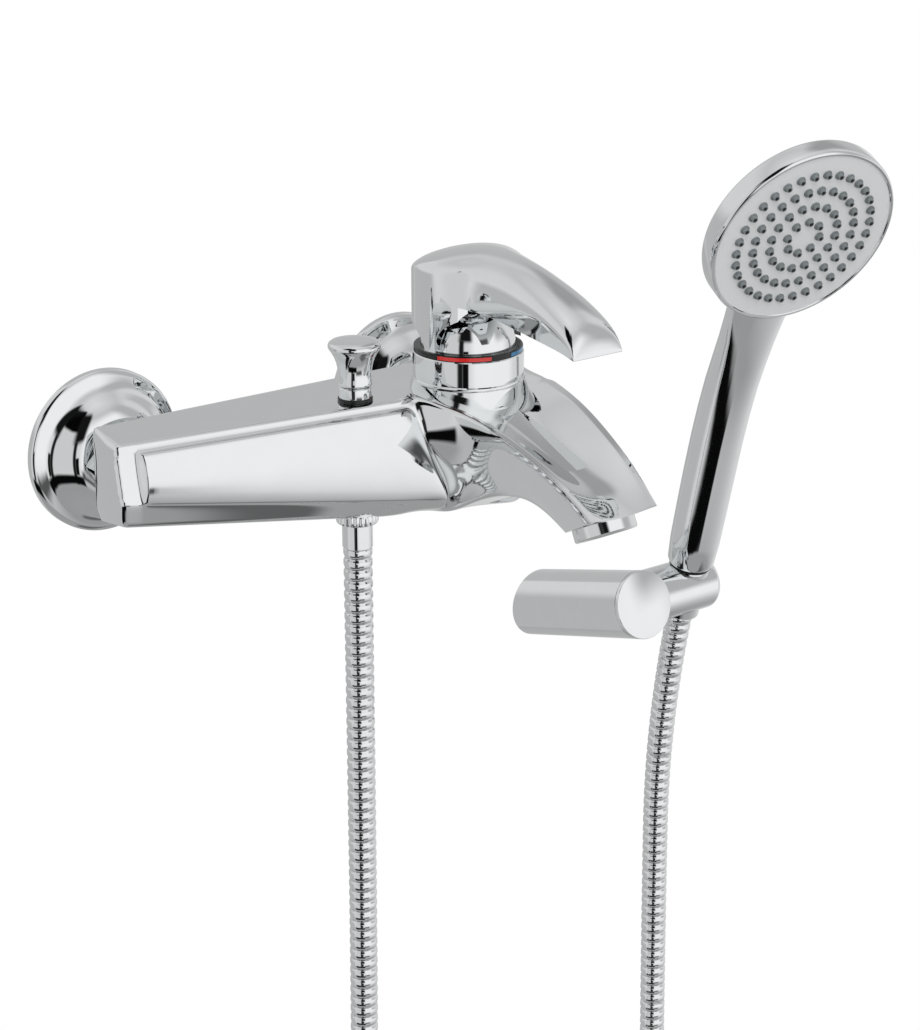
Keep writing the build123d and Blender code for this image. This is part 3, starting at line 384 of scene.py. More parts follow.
def make_materials(colours):
    """Every finish of the object."""
    # Chrome over polished brass: a mirror with the faintest swirl of the buffing wheel, 12 mm across
    MATERIALS["chrome"] = surface("polished_chrome_plating", colours.chrome, 1.0, 0.035,
                                  grain_mm=12.0, spread=0.02)
    # Chrome over moulded ABS: as bright, with a slight moulding wave
    MATERIALS["plated"] = surface("chrome_plated_abs", colours.chrome, 1.0, 0.05,
                                  grain_mm=9.0, spread=0.02)
    # Satin plating on the spray plate: a fine blast of 0.3 mm grit
    MATERIALS["satin"] = surface("satin_plated_abs", colours.satin, 0.2, 0.36,
                                 grain_mm=0.5, bump=0.01, spread=0.03)
    # Interlocked chromed steel strip
    MATERIALS["strip"] = surface("chromed_steel_strip", colours.chrome, 1.0, 0.08,
                                 grain_mm=2.0, spread=0.05)
    # Turned steel with fine tool marks
    MATERIALS["steel"] = surface("turned_steel", colours.steel, 1.0, 0.3,
                                 grain_mm=0.6, bump=0.01, spread=0.08)
    # Turned brass, matt from the tool
    MATERIALS["brass"] = surface("turned_brass", colours.brass, 1.0, 0.3,
                                 grain_mm=0.8, bump=0.01, spread=0.1)
    # Moulded black acetal with a soft gloss; on the ring under the knob its black is painted shade
    MATERIALS["black"] = surface("black_acetal", colours.black, 0.0, 0.3,
                                 grain_mm=0.6, bump=0.004, spread=0.2)
    # Enamel filled into the ring
    MATERIALS["red"] = surface("red_enamel", colours.red, 0.0, 0.25,
                               grain_mm=1.0, spread=0.08, coat=0.4)
    MATERIALS["blue"] = surface("blue_enamel", colours.blue, 0.0, 0.25,
                                grain_mm=1.0, spread=0.08, coat=0.4)
    # Grey silicone, matt and slightly dusty
    MATERIALS["nozzle"] = surface("grey_silicone", colours.nozzle, 0.0, 0.55,
                                  grain_mm=0.4, bump=0.01, spread=0.1)
    # Moulded white acetal with a soft gloss
    MATERIALS["plastic"] = surface("white_acetal", colours.plastic, 0.0, 0.45,
                                   grain_mm=0.5, bump=0.004, spread=0.05)
    # Lapped alumina: flat, fine and nearly white
    MATERIALS["ceramic"] = surface("lapped_alumina", colours.ceramic, 0.0, 0.2,
                                   grain_mm=0.5, spread=0.03)
    # Nitrile rubber, matt and a little uneven; on the nozzles' mouths its black is painted shade
    MATERIALS["rubber"] = surface("black_nitrile", colours.black, 0.0, 0.6,
                                  grain_mm=0.4, bump=0.01, spread=0.3)


# Pieces

def wall_place(x, z=0.0):
    """A matrix on the wall whose third axis leads into the room."""
    return frame_at((x, 0.0, z), (0.0, -1.0, 0.0))


class BATH_OT_rosettes(bpy.types.Operator):
    """Turn the two wall rosettes, each a rim, a flare and a dome"""
    bl_idname = "bath.rosettes"
    bl_label = "Wall rosettes"

    def execute(self, context):
        sizes = context.scene.mixer_sizes
        radius = sizes.rosette_radius / MM
        depth = sizes.rosette_depth / MM
        outline = [(0.0, 3.0), (0.8, 3.9), (2.4, 4.5), (4.6, 5.0), (6.8, 6.2), (8.8, 8.4), (10.6, 11.2),
                   (12.6, 13.8), (15.0, 15.8), (17.6, 16.9)]
        front = [(radius - inset, height) for inset, height in outline]
        profile = [(14.4, 0.2), (16.0, 0.2), (16.0, 11.0), (radius - 2.0, 1.4), (radius - 1.6, 0.0),
                   (radius, 0.0)] + front + [(14.4, depth)]
        for side, x in (("left", -INLET_X), ("right", INLET_X)):
            mesh = turned_mesh("rosette_shell_" + side, profile, wall_place(x), edge=0.25, steps=128)
            finish_object("rosette_shell_" + side, mesh, MATERIALS["chrome"], "mixer", ["rosette_" + side])
        return {"FINISHED"}


BAR_STATIONS = (-100.0, -95.5, -91.3, -89.4, -70.0, -45.0, -20.0, 5.0, 24.0)
# Rows of a ring round the body, and those of them that the spout is drawn out of
ROWS = 12
FRONT_ROWS = range(2, 10)
# Where each row of the bar ends at the spout's root, and how far the root flares out there
ROOT_X = (41.5, 41.5, 33.0, 31.0, 30.0, 31.0, 45.0, 47.0, 47.5, 47.0, 41.5, 41.5)
ROOT_FLARE = (6.0, 9.0, 10.0, 8.0, 4.0, 0.0, 0.0, 0.0)
FLARE_FADE = ((-110.0, 0.0), (-100.0, 0.03), (-92.0, 0.12), (-83.0, 0.4), (-77.0, 0.8), (-72.0, 1.0))
ROOT_HALF = 29.5
ROOT_STATION = (-70.0, -64.0)
SPOUT_COLUMNS = (-1.0, -0.854, -0.27, 0.0, 0.27, 0.854, 1.0)
# Heights and half widths along the spout, by how far out they are
RAIL = ((-60.0, 20.2), (-70.0, 19.0), (-80.0, 16.8), (-90.0, 15.3), (-100.0, 13.2), (-110.0, 10.2),
        (-120.0, 6.7), (-130.0, 2.8), (-140.0, -1.8), (-150.0, -7.5), (-158.0, -13.5), (-161.3, -15.9))
SOLE = ((-66.0, -38.0), (-74.0, -34.0), (-84.0, -28.0), (-93.0, -23.6), (-102.0, -21.2), (-112.0, -20.3),
        (-118.0, -20.6), (-124.0, -21.9), (-132.0, -24.9), (-138.2, -27.7))
HALF = ((-60.0, 29.5), (-80.0, 29.5), (-90.0, 28.25), (-100.0, 27.0), (-110.0, 25.75), (-120.0, 24.0),
        (-130.0, 22.25), (-140.0, 20.75), (-150.0, 19.0), (-158.0, 18.0), (-161.3, 17.7))
CHANNEL = ((-70.0, 8.0), (-80.0, 7.0), (-100.0, 7.4), (-125.0, 7.4), (-135.0, 6.4), (-145.0, 4.2),
           (-153.0, 2.4), (-161.3, 1.2))
# Each section of the spout: how far out its rails and its sole are
SPOUT_STATIONS = ((-77.0, -72.0), (-83.0, -79.0), (-92.0, -88.0), (-104.0, -98.0), (-116.0, -108.0),
                  (-128.0, -117.0), (-140.0, -125.5), (-150.0, -132.0), (-157.5, -136.2), (-161.3, -138.2))


def bar_point(x, row):
    """A point of the bar's section: rows run from the top of the back over the front to the heel."""
    run = x + 100.0
    crease = -53.0 - 0.133 * run
    foot = -3.4 - 0.160 * run
    sole_y = -59.0 - 0.10 * run
    sole_z = -13.6 - 0.147 * run
    rows = ((-34.0, 22.0), (-44.0, 20.4), (crease, 18.3), (crease - 1.5, 14.6), (crease - 4.4, 15.0),
            (crease - 7.4, 9.0), (crease - 7.8, foot + 6.0), (crease - 6.2, foot), (crease - 5.0, foot - 1.0),
            (sole_y + 3.6, sole_z - 0.7), (-37.0, sole_z - 3.0), (-34.0, sole_z))
    if x < -91.0 and 3 <= row <= 8:
        plain = crease + (sole_y - crease) * (18.3 - rows[row][1]) / (18.3 - sole_z)
        return plain - 0.6, rows[row][1]
    return rows[row]


def spout_point(column, row, top_y, sole_y):
    """A point of the spout: columns run across it and rows 0 to 7 from the rails down to the sole."""
    share = row / 7.0
    y = top_y + (sole_y - top_y) * share
    rail_z = look_up(RAIL, top_y)
    sole_z = look_up(SOLE, sole_y)
    half_top = look_up(HALF, top_y)
    sole_half = min(half_top * 0.8, 12.0 + max(0.0, (sole_y + 105.0) * 0.28))
    half = half_top + (sole_half - half_top) * share ** 1.25
    z = rail_z + (sole_z - rail_z) * share
    if row == 0 and abs(column) < 0.9:
        depth = look_up(CHANNEL, top_y)
        z = rail_z - (0.2 if abs(column) > 0.8 else depth)
    flare = ROOT_FLARE[row] * look_up(FLARE_FADE, top_y) if column < -0.8 else 0.0
    return SPOUT_X + column * half - flare, y, z


def root_ring(column):
    """The ring round the body below one column of the spout, in millimetres."""
    x = SPOUT_X + ROOT_HALF * column
    points = []
    for row in range(ROWS):
        if row not in FRONT_ROWS:
            points.append((x, *bar_point(x, row)))
        elif column == SPOUT_COLUMNS[0]:
            y, z = bar_point(ROOT_X[row], row)
            points.append((ROOT_X[row], y + 0.5, 19.6 if row == FRONT_ROWS[0] else z))
        else:
            across, y, z = spout_point(column, row - FRONT_ROWS[0], *ROOT_STATION)
            points.append((across, y, bar_point(x, row)[1] if row == FRONT_ROWS[-1] else z))
    return points


def body_cage():
    """The control cage of the bar and the spout drawn out of its front, with the vertices of the tip."""
    outlines = []
    for x in BAR_STATIONS:
        ends = [ROOT_X[row] - 6.0 if x == BAR_STATIONS[-1] else x for row in range(ROWS)]
        outlines.append([(end, *bar_point(end, row)) for row, end in enumerate(ends)])
    outlines += [root_ring(column) for column in SPOUT_COLUMNS]
    bm = bmesh.new()
    rings = [[bm.verts.new(mm(*point)) for point in outline] for outline in outlines]
    loops = [[bm.edges.new((ring[row], ring[(row + 1) % ROWS])) for row in range(ROWS)] for ring in rings]
    grid = {}
    for i, (ring, following) in enumerate(zip(rings, rings[1:])):
        for row in range(ROWS):
            beside = (row + 1) % ROWS
            grid[(i, row)] = bm.faces.new((ring[row], ring[beside], following[beside], following[row]))
    bmesh.ops.holes_fill(bm, edges=loops[0] + loops[-1], sides=0)
    first = len(BAR_STATIONS)
    front = [grid[(first + c, row)] for c in range(len(SPOUT_COLUMNS) - 1) for row in FRONT_ROWS[:-1]]
    place_of = {}
    for c in range(len(SPOUT_COLUMNS)):
        for row in FRONT_ROWS:
            place_of[rings[first + c][row]] = (c, row - FRONT_ROWS[0])
    bm.edges.layers.float.new("crease_edge")

    def spot(vert):
        """A vertex's place, rounded so that a vertex and its copy have the same one."""
        return tuple(round(part, 7) for part in vert.co)

    for top_y, sole_y in SPOUT_STATIONS:
        keys = {spot(vert): key for vert, key in place_of.items() if vert.is_valid}
        covered = list(front)
        drawn = bmesh.ops.extrude_face_region(bm, geom=front)["geom"]
        bmesh.ops.delete(bm, geom=[face for face in covered if face.is_valid], context="FACES")
        front = [part for part in drawn if isinstance(part, bmesh.types.BMFace)]
        place_of = {part: keys[spot(part)] for part in drawn if isinstance(part, bmesh.types.BMVert)}
        for vert, (c, row) in place_of.items():
            vert.co = mm(*spout_point(SPOUT_COLUMNS[c], row, top_y, sole_y))
    return bm, place_of


# Creases along the bar by row, round its left end by station, and along the spout's rails by column
ROW_CREASES = ((0, 0.85), (2, 0.75), (4, 0.45), (7, 0.6), (8, 0.3), (9, 0.55), (10, 0.6), (11, 0.7))
STATION_CREASES = ((-89.4, 0.7), (-91.3, 0.35))
RAIL_CREASES = ((-1.0, 0.8), (1.0, 0.8), (-0.854, 0.75), (0.854, 0.75))
TIP_CREASE = 0.9


def on_rail(point, column):
    """Whether a point of the cage, in millimetres, lies on one column of the spout's rails."""
    across = SPOUT_X + column * look_up(HALF, point.y)
    return abs(point.x - across) < 0.3 and abs(point.z - look_up(RAIL, point.y)) < 0.6


def set_creases(bm, tip):
    """Crease the cage's edges by where they lie, and the edge round the tip."""
    layer = bm.edges.layers.float.get("crease_edge")
    for edge in bm.edges:
        a, b = edge.verts[0].co / MM, edge.verts[1].co / MM
        middle = (a + b) / 2
        lengthwise = abs(a.x - b.x) > 0.3 * (a - b).length
        if middle.x < 40.0 and lengthwise:
            for row, value in ROW_CREASES:
                y, z = bar_point(a.x, row)
                if abs(a.y - y) < 0.05 and abs(a.z - z) < 0.05:
                    edge[layer] = value
        for station, value in STATION_CREASES:
            if abs(a.x - station) < 0.01 and abs(b.x - station) < 0.01 and middle.y < -54.0:
                edge[layer] = value
        if middle.x >= 40.0 and middle.y > -36.0 and lengthwise:
            edge[layer] = 0.7
        if a.x > 100.4 and b.x > 100.4 and middle.y > -64.0:
            edge[layer] = 0.6
        if a.y < -76.0 and b.y < -76.0 and abs(a.y - b.y) > 1.0:
            for column, value in RAIL_CREASES:
                if on_rail(a, column) and on_rail(b, column):
                    edge[layer] = value
    for face in bm.faces:
        if all(vert in tip for vert in face.verts):
            for edge in face.edges:
                if sum(all(vert in tip for vert in side.verts) for side in edge.link_faces) == 1:
                    edge[layer] = TIP_CREASE


class BATH_OT_body(bpy.types.Operator):
    """Model the cast body: the tapering bar, the spout with its rails, and the tower's neck"""
    bl_idname = "bath.body"
    bl_label = "Mixer body"

    def execute(self, context):
        bm, tip = body_cage()
        bmesh.ops.recalc_face_normals(bm, faces=bm.faces)
        set_creases(bm, tip)
        mesh = bpy.data.meshes.new("body_shell")
        bm.to_mesh(mesh)
        bm.free()
        holder = bpy.data.objects.new("body_cage", mesh)
        context.scene.collection.objects.link(holder)
        smooth = holder.modifiers.new("smooth", "SUBSURF")
        smooth.levels = 3
        smooth.render_levels = 3
        shell = bpy.data.meshes.new_from_object(holder.evaluated_get(context.evaluated_depsgraph_get()))
        bpy.data.objects.remove(holder)
        # A shallow strip is sunk in the channel's floor
        strip = drawn_mesh("strip", [(-5.8, 0.0), (5.8, 0.0), (5.8, 9.0), (-5.8, 9.0)],
                           frame_at((SPOUT_X, -84.0, 10.0), (0.0, -0.940, -0.342)), 50.0)
        shell = combined("body_shell", shell, [strip])
        finish_object("body_shell", shell, MATERIALS["chrome"], "mixer", ["mixer_body"],
                      smooth=math.radians(50))
        tower = frame_at((SPOUT_X, TOWER_Y, 0.0), (0.0, 0.0, 1.0))
        neck = [(0.0, 0.0), (23.5, 0.0), (23.5, 18.2), (22.3, 18.2), (22.3, 28.0), (0.0, 28.0)]
        finish_object("neck", turned_mesh("neck", neck, tower, edge=0.3), MATERIALS["chrome"], "mixer")
        return {"FINISHED"}


# Heights of the black ring and of the cap on it, and the cap's arc in degrees
RING_FOOT = 31.0
CAP_FOOT = 33.4
CAP_RADIUS = 20.3
CAP_WALL = 1.5
CAP_SWEEP = 50.4
CAP_STEPS = 13


class BATH_OT_tower(bpy.types.Operator):
    """Turn the sleeve, the black ring with its marks and the domed cap under the lever"""
    bl_idname = "bath.tower"
    bl_label = "Cartridge tower"

    def execute(self, context):
        sizes = context.scene.mixer_sizes
        radius = sizes.sleeve_radius / MM
        tower = frame_at((SPOUT_X, TOWER_Y, 0.0), (0.0, 0.0, 1.0))
        sleeve = [(22.4, 18.3), (radius, 18.3), (radius + 0.5, 18.7), (radius + 0.62, 19.2),
                  (radius + 0.5, 19.7), (radius, 20.1), (radius, RING_FOOT - 0.4), (radius - 0.4, RING_FOOT),
                  (17.3, RING_FOOT), (17.3, 28.4), (22.4, 28.4)]
        finish_object("sleeve", turned_mesh("sleeve", sleeve, tower, steps=128), MATERIALS["chrome"],
                      "mixer", ["neck_sleeve"])
        ring = [(20.4, RING_FOOT), (23.3, RING_FOOT), (23.3, CAP_FOOT), (20.4, CAP_FOOT)]
        finish_object("ring_black", turned_mesh("ring_black", ring, tower, edge=0.2, steps=128),
                      MATERIALS["black"], "mixer", ["temperature_ring"])
        for name, material, start, end in (("red_mark", "red", -71.0, -13.0),
                                           ("blue_mark", "blue", 13.0, 71.0)):
            bm = bmesh.new()
            corners = [(22.6, 31.4), (23.45, 31.4), (23.45, 33.0), (22.6, 33.0)]
            first = Matrix.Rotation(math.radians(start), 4, "Z")
            ring_verts = [bm.verts.new(tower @ first @ mm(0, -r, z)) for r, z in corners]
            face = bm.faces.new(ring_verts)
            bmesh.ops.spin(bm, geom=[face], cent=tower.translation, axis=(0, 0, 1),
                           angle=math.radians(end - start), steps=40)
            bmesh.ops.contextual_create(bm, geom=ring_verts)
            mesh = close_mesh(bm, name + "_fill")
            finish_object(name + "_fill", mesh, MATERIALS[material], "mixer", [name])
        turns = [math.radians(step * CAP_SWEEP / CAP_STEPS) for step in range(CAP_STEPS + 1)]
        inner = CAP_RADIUS - CAP_WALL
        dome = [(inner, RING_FOOT), (CAP_RADIUS, RING_FOOT)]
        dome += [(CAP_RADIUS * math.cos(turn), CAP_FOOT + CAP_RADIUS * math.sin(turn)) for turn in turns]
        dome += [(inner * math.cos(turn), CAP_FOOT + inner * math.sin(turn)) for turn in reversed(turns)]
        finish_object("dome", turned_mesh("dome", dome, tower, steps=96), MATERIALS["chrome"], "mixer",
                      ["domed_cap"])
        return {"FINISHED"}


# Heights and half widths along the lever, by how far out they are
CROWN = ((-34.8, 62.0), (-38.0, 67.3), (-45.0, 72.0), (-55.0, 75.5), (-67.0, 77.5), (-81.0, 77.5),
         (-100.0, 74.6), (-117.0, 69.4), (-128.0, 64.8), (-136.0, 60.4), (-140.0, 56.8), (-142.2, 52.8),
         (-143.2, 48.6), (-143.5, 46.8))
SHOULDER = ((-34.8, 60.0), (-45.0, 66.0), (-62.0, 66.0), (-82.0, 63.6), (-102.0, 61.4), (-121.0, 58.6),
            (-133.0, 54.2), (-140.0, 50.2), (-143.5, 46.4))
BLADE_SOLE = ((-76.0, 55.0), (-90.0, 53.7), (-100.0, 52.4), (-116.0, 50.3), (-126.0, 49.0), (-135.0, 47.7),
              (-143.0, 45.9))
BLADE_HALF = ((-60.0, 24.0), (-72.0, 20.6), (-79.0, 17.2), (-86.0, 15.2), (-94.0, 14.1), (-102.0, 13.6),
              (-118.0, 13.2), (-143.0, 12.8))


# The hood's lower edge, how far ahead of the tower it keeps that height, and the rise of its two arches
HOOD_FOOT = 34.3
HOOD_REACH = 17.0
FRONT_RISE = 18.6
REAR_RISE = 11.2
CROWN_STEPS = 24


def lever_ring(y):
    """The lever's outline across a place along it: a bowed crown on two upright flanks."""
    ahead = TOWER_Y - y
    circle = math.sqrt(max(0.0, HOOD_RADIUS ** 2 - ahead ** 2))
    if ahead <= 0:
        half = max(circle, 0.5)
    else:
        half = max(circle, look_up(BLADE_HALF, y))
    crown = look_up(CROWN, y)
    shoulder = min(look_up(SHOULDER, y), crown - 1.0)
    sole = HOOD_FOOT if ahead < HOOD_REACH else look_up(BLADE_SOLE, y)
    points = []
    for step in range(CROWN_STEPS + 1):
        angle = math.pi * step / CROWN_STEPS
        points.append(mm(SPOUT_X - half * math.cos(angle), y,
                         shoulder + (crown - shoulder) * math.sin(angle) ** 0.9))
    for step in range(1, 7):
        points.append(mm(SPOUT_X + half, y, shoulder + (sole - shoulder) * step / 6))
    for step in range(1, 12):
        points.append(mm(SPOUT_X + half - 2 * half * step / 12, y, sole))
    for step in range(6):
        points.append(mm(SPOUT_X - half, y, sole + (shoulder - sole) * step / 6))
    return points


class BATH_OT_lever(bpy.types.Operator):
    """Model the lever: a hood with arches over the cap, running out into a bowed blade"""
    bl_idname = "bath.lever"
    bl_label = "Lever"

    def execute(self, context):
        places = [TOWER_Y + HOOD_RADIUS * math.cos(math.radians(a))
                  for a in (3, 9, 16, 24, 33, 42, 52, 62, 72, 81, 90)]
        places += [-62.5, -66.0, -69.5, -73.0, -75.6, -76.0, -79.0, -82.0, -85.0, -89.0, -94.0, -100.0,
                   -106.0, -112.0, -118.0, -123.0, -128.0, -132.0, -136.0, -138.5, -140.2, -141.4, -142.3,
                   -142.9, -143.3, -143.5]
        shell = bridged_mesh("lever_shell", [lever_ring(y) for y in places])
        hollow = rod_mesh("hollow", HOOD_RADIUS - HOOD_WALL, (SPOUT_X, TOWER_Y, 20.0),
                          (SPOUT_X, TOWER_Y, 58.0), 96)
        front = [(22.83 * across, FRONT_RISE * up) for across, up in superellipse(3.2)]
        arch = drawn_mesh("arch", front, frame_at((SPOUT_X, TOWER_Y - 5.0, HOOD_FOOT), (0, -1, 0)), 24.0)
        back = [(25.0 * across, REAR_RISE * up) for across, up in superellipse(2.0)]
        rear_place = frame_at((SPOUT_X - 30.0, TOWER_Y + HOOD_RADIUS, HOOD_FOOT), (1, 0, 0), (0, 1, 0))
        rear = drawn_mesh("rear", back, rear_place, 60.0)
        lever = combined("lever_shell", shell, [hollow, arch, rear])
        stem_dir = (0.0, -math.sin(STEM_LEAN), math.cos(STEM_LEAN))
        pivot = (SPOUT_X, TOWER_Y, PIVOT_Z)
        hub = rod_mesh("hub", 7.5, along(pivot, stem_dir, 29.5), along(pivot, stem_dir, 44.0), 48)
        lever = combined("lever_shell", lever, [hub], "UNION")
        finish_object("lever_shell", lever, MATERIALS["chrome"], "lever", ["lever_handle"],
                      smooth=math.radians(38))
        return {"FINISHED"}


class BATH_OT_diverter(bpy.types.Operator):
    """Turn the pull-up diverter's knob, gland and ring"""
    bl_idname = "bath.diverter"
    bl_label = "Diverter"

    def execute(self, context):
        place = frame_at((*DIVERTER, 0.0), (0.0, 0.0, 1.0))
        knob = [(0.0, 25.8), (6.9, 25.8), (7.3, 26.2), (7.3, 27.4), (7.0, 29.0), (7.0, 31.0), (7.2, 33.0),
                (7.7, 35.4), (8.6, 37.8), (9.7, 39.8), (10.7, 41.2), (11.0, 42.0), (11.0, 42.8), (10.6, 43.6),
                (9.6, 44.3), (7.6, 44.8), (4.0, 45.0), (0.0, 45.0)]
        finish_object("knob", turned_mesh("knob", knob, place, edge=0.15), MATERIALS["chrome"], "diverter",
                      ["diverter_knob"])
        gland = [(2.6, 10.4), (6.0, 10.4), (6.0, 20.6), (6.9, 20.6), (6.9, 24.8), (6.2, 25.4), (2.6, 25.4)]
        finish_object("gland", turned_mesh("gland", gland, place, edge=0.15), MATERIALS["chrome"], "mixer",
                      ["diverter_gland"])
        # The black ring under the knob is painted shade: it stands for the dark shadow line under the knob
        ring = [(6.1, 18.8), (7.3, 18.8), (7.3, 20.6), (6.1, 20.6)]
        finish_object("painted_shadow_ring_under_knob", turned_mesh("painted_shadow_ring_under_knob", ring, place, edge=0.3),
                      MATERIALS["black"], "mixer", ["diverter_ring"])
        return {"FINISHED"}


class BATH_OT_aerator(bpy.types.Operator):
    """Turn the aerator's housing at the spout's tip"""
    bl_idname = "bath.aerator"
    bl_label = "Aerator"

    def execute(self, context):
        place = frame_at(TIP, TIP_NORMAL)
        housing = [(8.6, -3.0), (10.0, -3.0), (10.0, 0.0), (12.9, 0.0), (13.2, 0.4), (13.2, 5.1), (12.6, 5.7),
                   (11.2, 5.7), (10.8, 5.3), (10.8, 4.5), (8.6, 4.5)]
        finish_object("aerator_ring", turned_mesh("aerator_ring", housing, place, steps=96),
                      MATERIALS["chrome"], "mixer", ["aerator_housing"])
        return {"FINISHED"}


HOSE_ROUTE = ((11.5, -59.5, -45.0), (11.5, -59.5, -150.0), (13.0, -56.0, -306.0), (11.0, -54.0, -462.0),
              (12.0, -51.0, -649.0), (198.5, -50.0, -649.0), (199.4, -48.0, -466.0), (198.1, -46.0, -290.0))
# Ribs in the stretch by the arm, and in the one above it that runs up to the hand shower
BEND_RIBS = 28
UPPER_RIBS = 16
HOSE_FACETS = 20
KNURLS = 24
KNURL_DEPTH = 0.45
# Foot of the cone nut below the seat's middle, where the hose ends
CONE_FOOT = -14.0


def knurled_ring(place, radius, height, depth):
    """A ring of points whose radius waves in by a depth, in millimetres."""
    points = []
    for a in angles(KNURLS * 8):
        reach = radius - depth * (0.5 + 0.5 * math.cos(KNURLS * a))
        points.append(place @ mm(reach * math.cos(a), reach * math.sin(a), height))
    return points


def hose_line(context, route):
    """Points along the hose's smooth line, in metres, and its length up to each."""
    curve = bpy.data.curves.new("hose_route", "CURVE")
    curve.dimensions = "3D"
    spline = curve.splines.new("NURBS")
    spline.points.add(len(route) - 1)
    for point, spot in zip(spline.points, route):
        point.co = (*mm(*spot), 1.0)
    spline.order_u = 3
    spline.use_endpoint_u = True
    spline.resolution_u = 48
    holder = bpy.data.objects.new("hose_route", curve)
    context.scene.collection.objects.link(holder)
    line = bpy.data.meshes.new_from_object(holder.evaluated_get(context.evaluated_depsgraph_get()))
    points = [vert.co.copy() for vert in line.vertices]
    bpy.data.objects.remove(holder)
    lengths = [0.0]
    for a, b in zip(points, points[1:]):
        lengths.append(lengths[-1] + (b - a).length)
    return points, lengths


def line_at(points, lengths, distance):
    """The point and the direction at a length along a line."""
    index = 0
    while index < len(points) - 2 and lengths[index + 1] < distance:
        index += 1
    share = (distance - lengths[index]) / max(lengths[index + 1] - lengths[index], 1e-9)
    step = points[index + 1] - points[index]
    before = points[index] - points[max(index - 1, 0)] if index else step
    after = points[min(index + 2, len(points) - 1)] - points[index + 1]
    after = after if after.length > 0 else step
    heading = before.normalized() * (1 - share) + step.normalized() + after.normalized() * share
    return points[index] + step * share, heading.normalized()


def ribbed_tube(name, line, ribs, pitch, radius):
    """A ribbed mesh tube over a range of ribs of the hose, with the middle of each of its rings."""
    wave = ((0.0, radius - 0.75), (0.10, radius - 0.2), (0.2, radius), (0.62, radius), (0.78, radius - 0.25),
            (0.86, radius - 0.75))
    rings = []
    path = []
    for rib in ribs:
        for share, ring_radius in wave:
            spot, heading = line_at(*line, (rib + share) * pitch)
            turn = frame_at((0, 0, 0), heading, (0, 1, 0)).to_3x3()
            reach = ring_radius * MM
            rings.append([spot + turn @ Vector((reach * math.cos(a), reach * math.sin(a), 0))
                          for a in angles(HOSE_FACETS)])
            path.append(spot)
    return bridged_mesh(name, rings), path


class BATH_OT_hose(bpy.types.Operator):
    """Wind the ribbed hose along its hanging route, with its nut and cone nut"""
    bl_idname = "bath.hose"
    bl_label = "Hose"

    def execute(self, context):
        sizes = context.scene.mixer_sizes
        radius = sizes.hose_radius / MM
        outlet = frame_at((*DIVERTER, 0.0), (0.0, 0.0, 1.0))
        outline = ((4.0, -20.6), (8.3, -20.6), (8.3, -29.6), (8.5, -29.6), (8.9, -30.0), (9.0, -30.4),
                   (9.0, -33.2), (8.9, -33.6), (8.5, -34.0), (6.5, -34.1), (6.5, -44.7), (6.2, -45.0),
                   (4.0, -45.0))
        # Only the collar, which is wider than 8.8 mm, is knurled
        rings = [knurled_ring(outlet, reach, height, KNURL_DEPTH if reach > 8.8 else 0.0)
                 for reach, height in outline]
        rings.append(rings[0])
        collar = finish_object("hose_nut_shell", bridged_mesh("hose_nut_shell", rings, capped=False),
                               MATERIALS["chrome"], "mixer", ["hose_nut"])
        cone = [(4.6, CONE_FOOT), (8.4, CONE_FOOT), (8.7, CONE_FOOT + 0.4), (9.8, 10.9), (9.4, 11.4),
                (6.9, 11.4), (6.9, 2.0), (4.6, 2.0)]
        nut_top = finish_object("cone_nut_shell",
                                turned_mesh("cone_nut_shell", cone, frame_at(SEAT, HANDLE_DIR), steps=96),
                                MATERIALS["chrome"], "hose_end", ["cone_nut"])
        hose_end = along(SEAT, HANDLE_DIR, CONE_FOOT)
        line = hose_line(context, [*HOSE_ROUTE, along(hose_end, HANDLE_DIR, -62.0), hose_end])
        total = line[1][-1]
        ribs = round(total / sizes.rib_pitch)
        top = ribs - UPPER_RIBS
        bend = top - BEND_RIBS
        # Each stretch with its ribs, the fitting on it, and the bodies it runs between
        stretches = (("hose_main", range(bend), [collar], ("mixer",)),
                     ("hose_bend", range(bend, top), [], ("mixer", "holder")),
                     ("hose_upper", range(top, ribs), [nut_top], ("holder", "hose_end")))
        for name, span, fittings, bodies in stretches:
            mesh, path = ribbed_tube(name, line, span, total / ribs, radius)
            piece = finish_object(name, mesh, MATERIALS["strip"], bodies[0] if len(bodies) == 1 else None,
                                  ["shower_hose"], smooth=math.radians(60))
            if len(bodies) == 2:
                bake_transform(piece)
        return {"FINISHED"}


# Depth of the bracket's cap and wall of its barrel, and the reach and rounded end of the arm
CAP_DEPTH = 2.4
BARREL_WALL = 2.4
ARM_REACH = 52.0
ARM_ROUND = 3.6


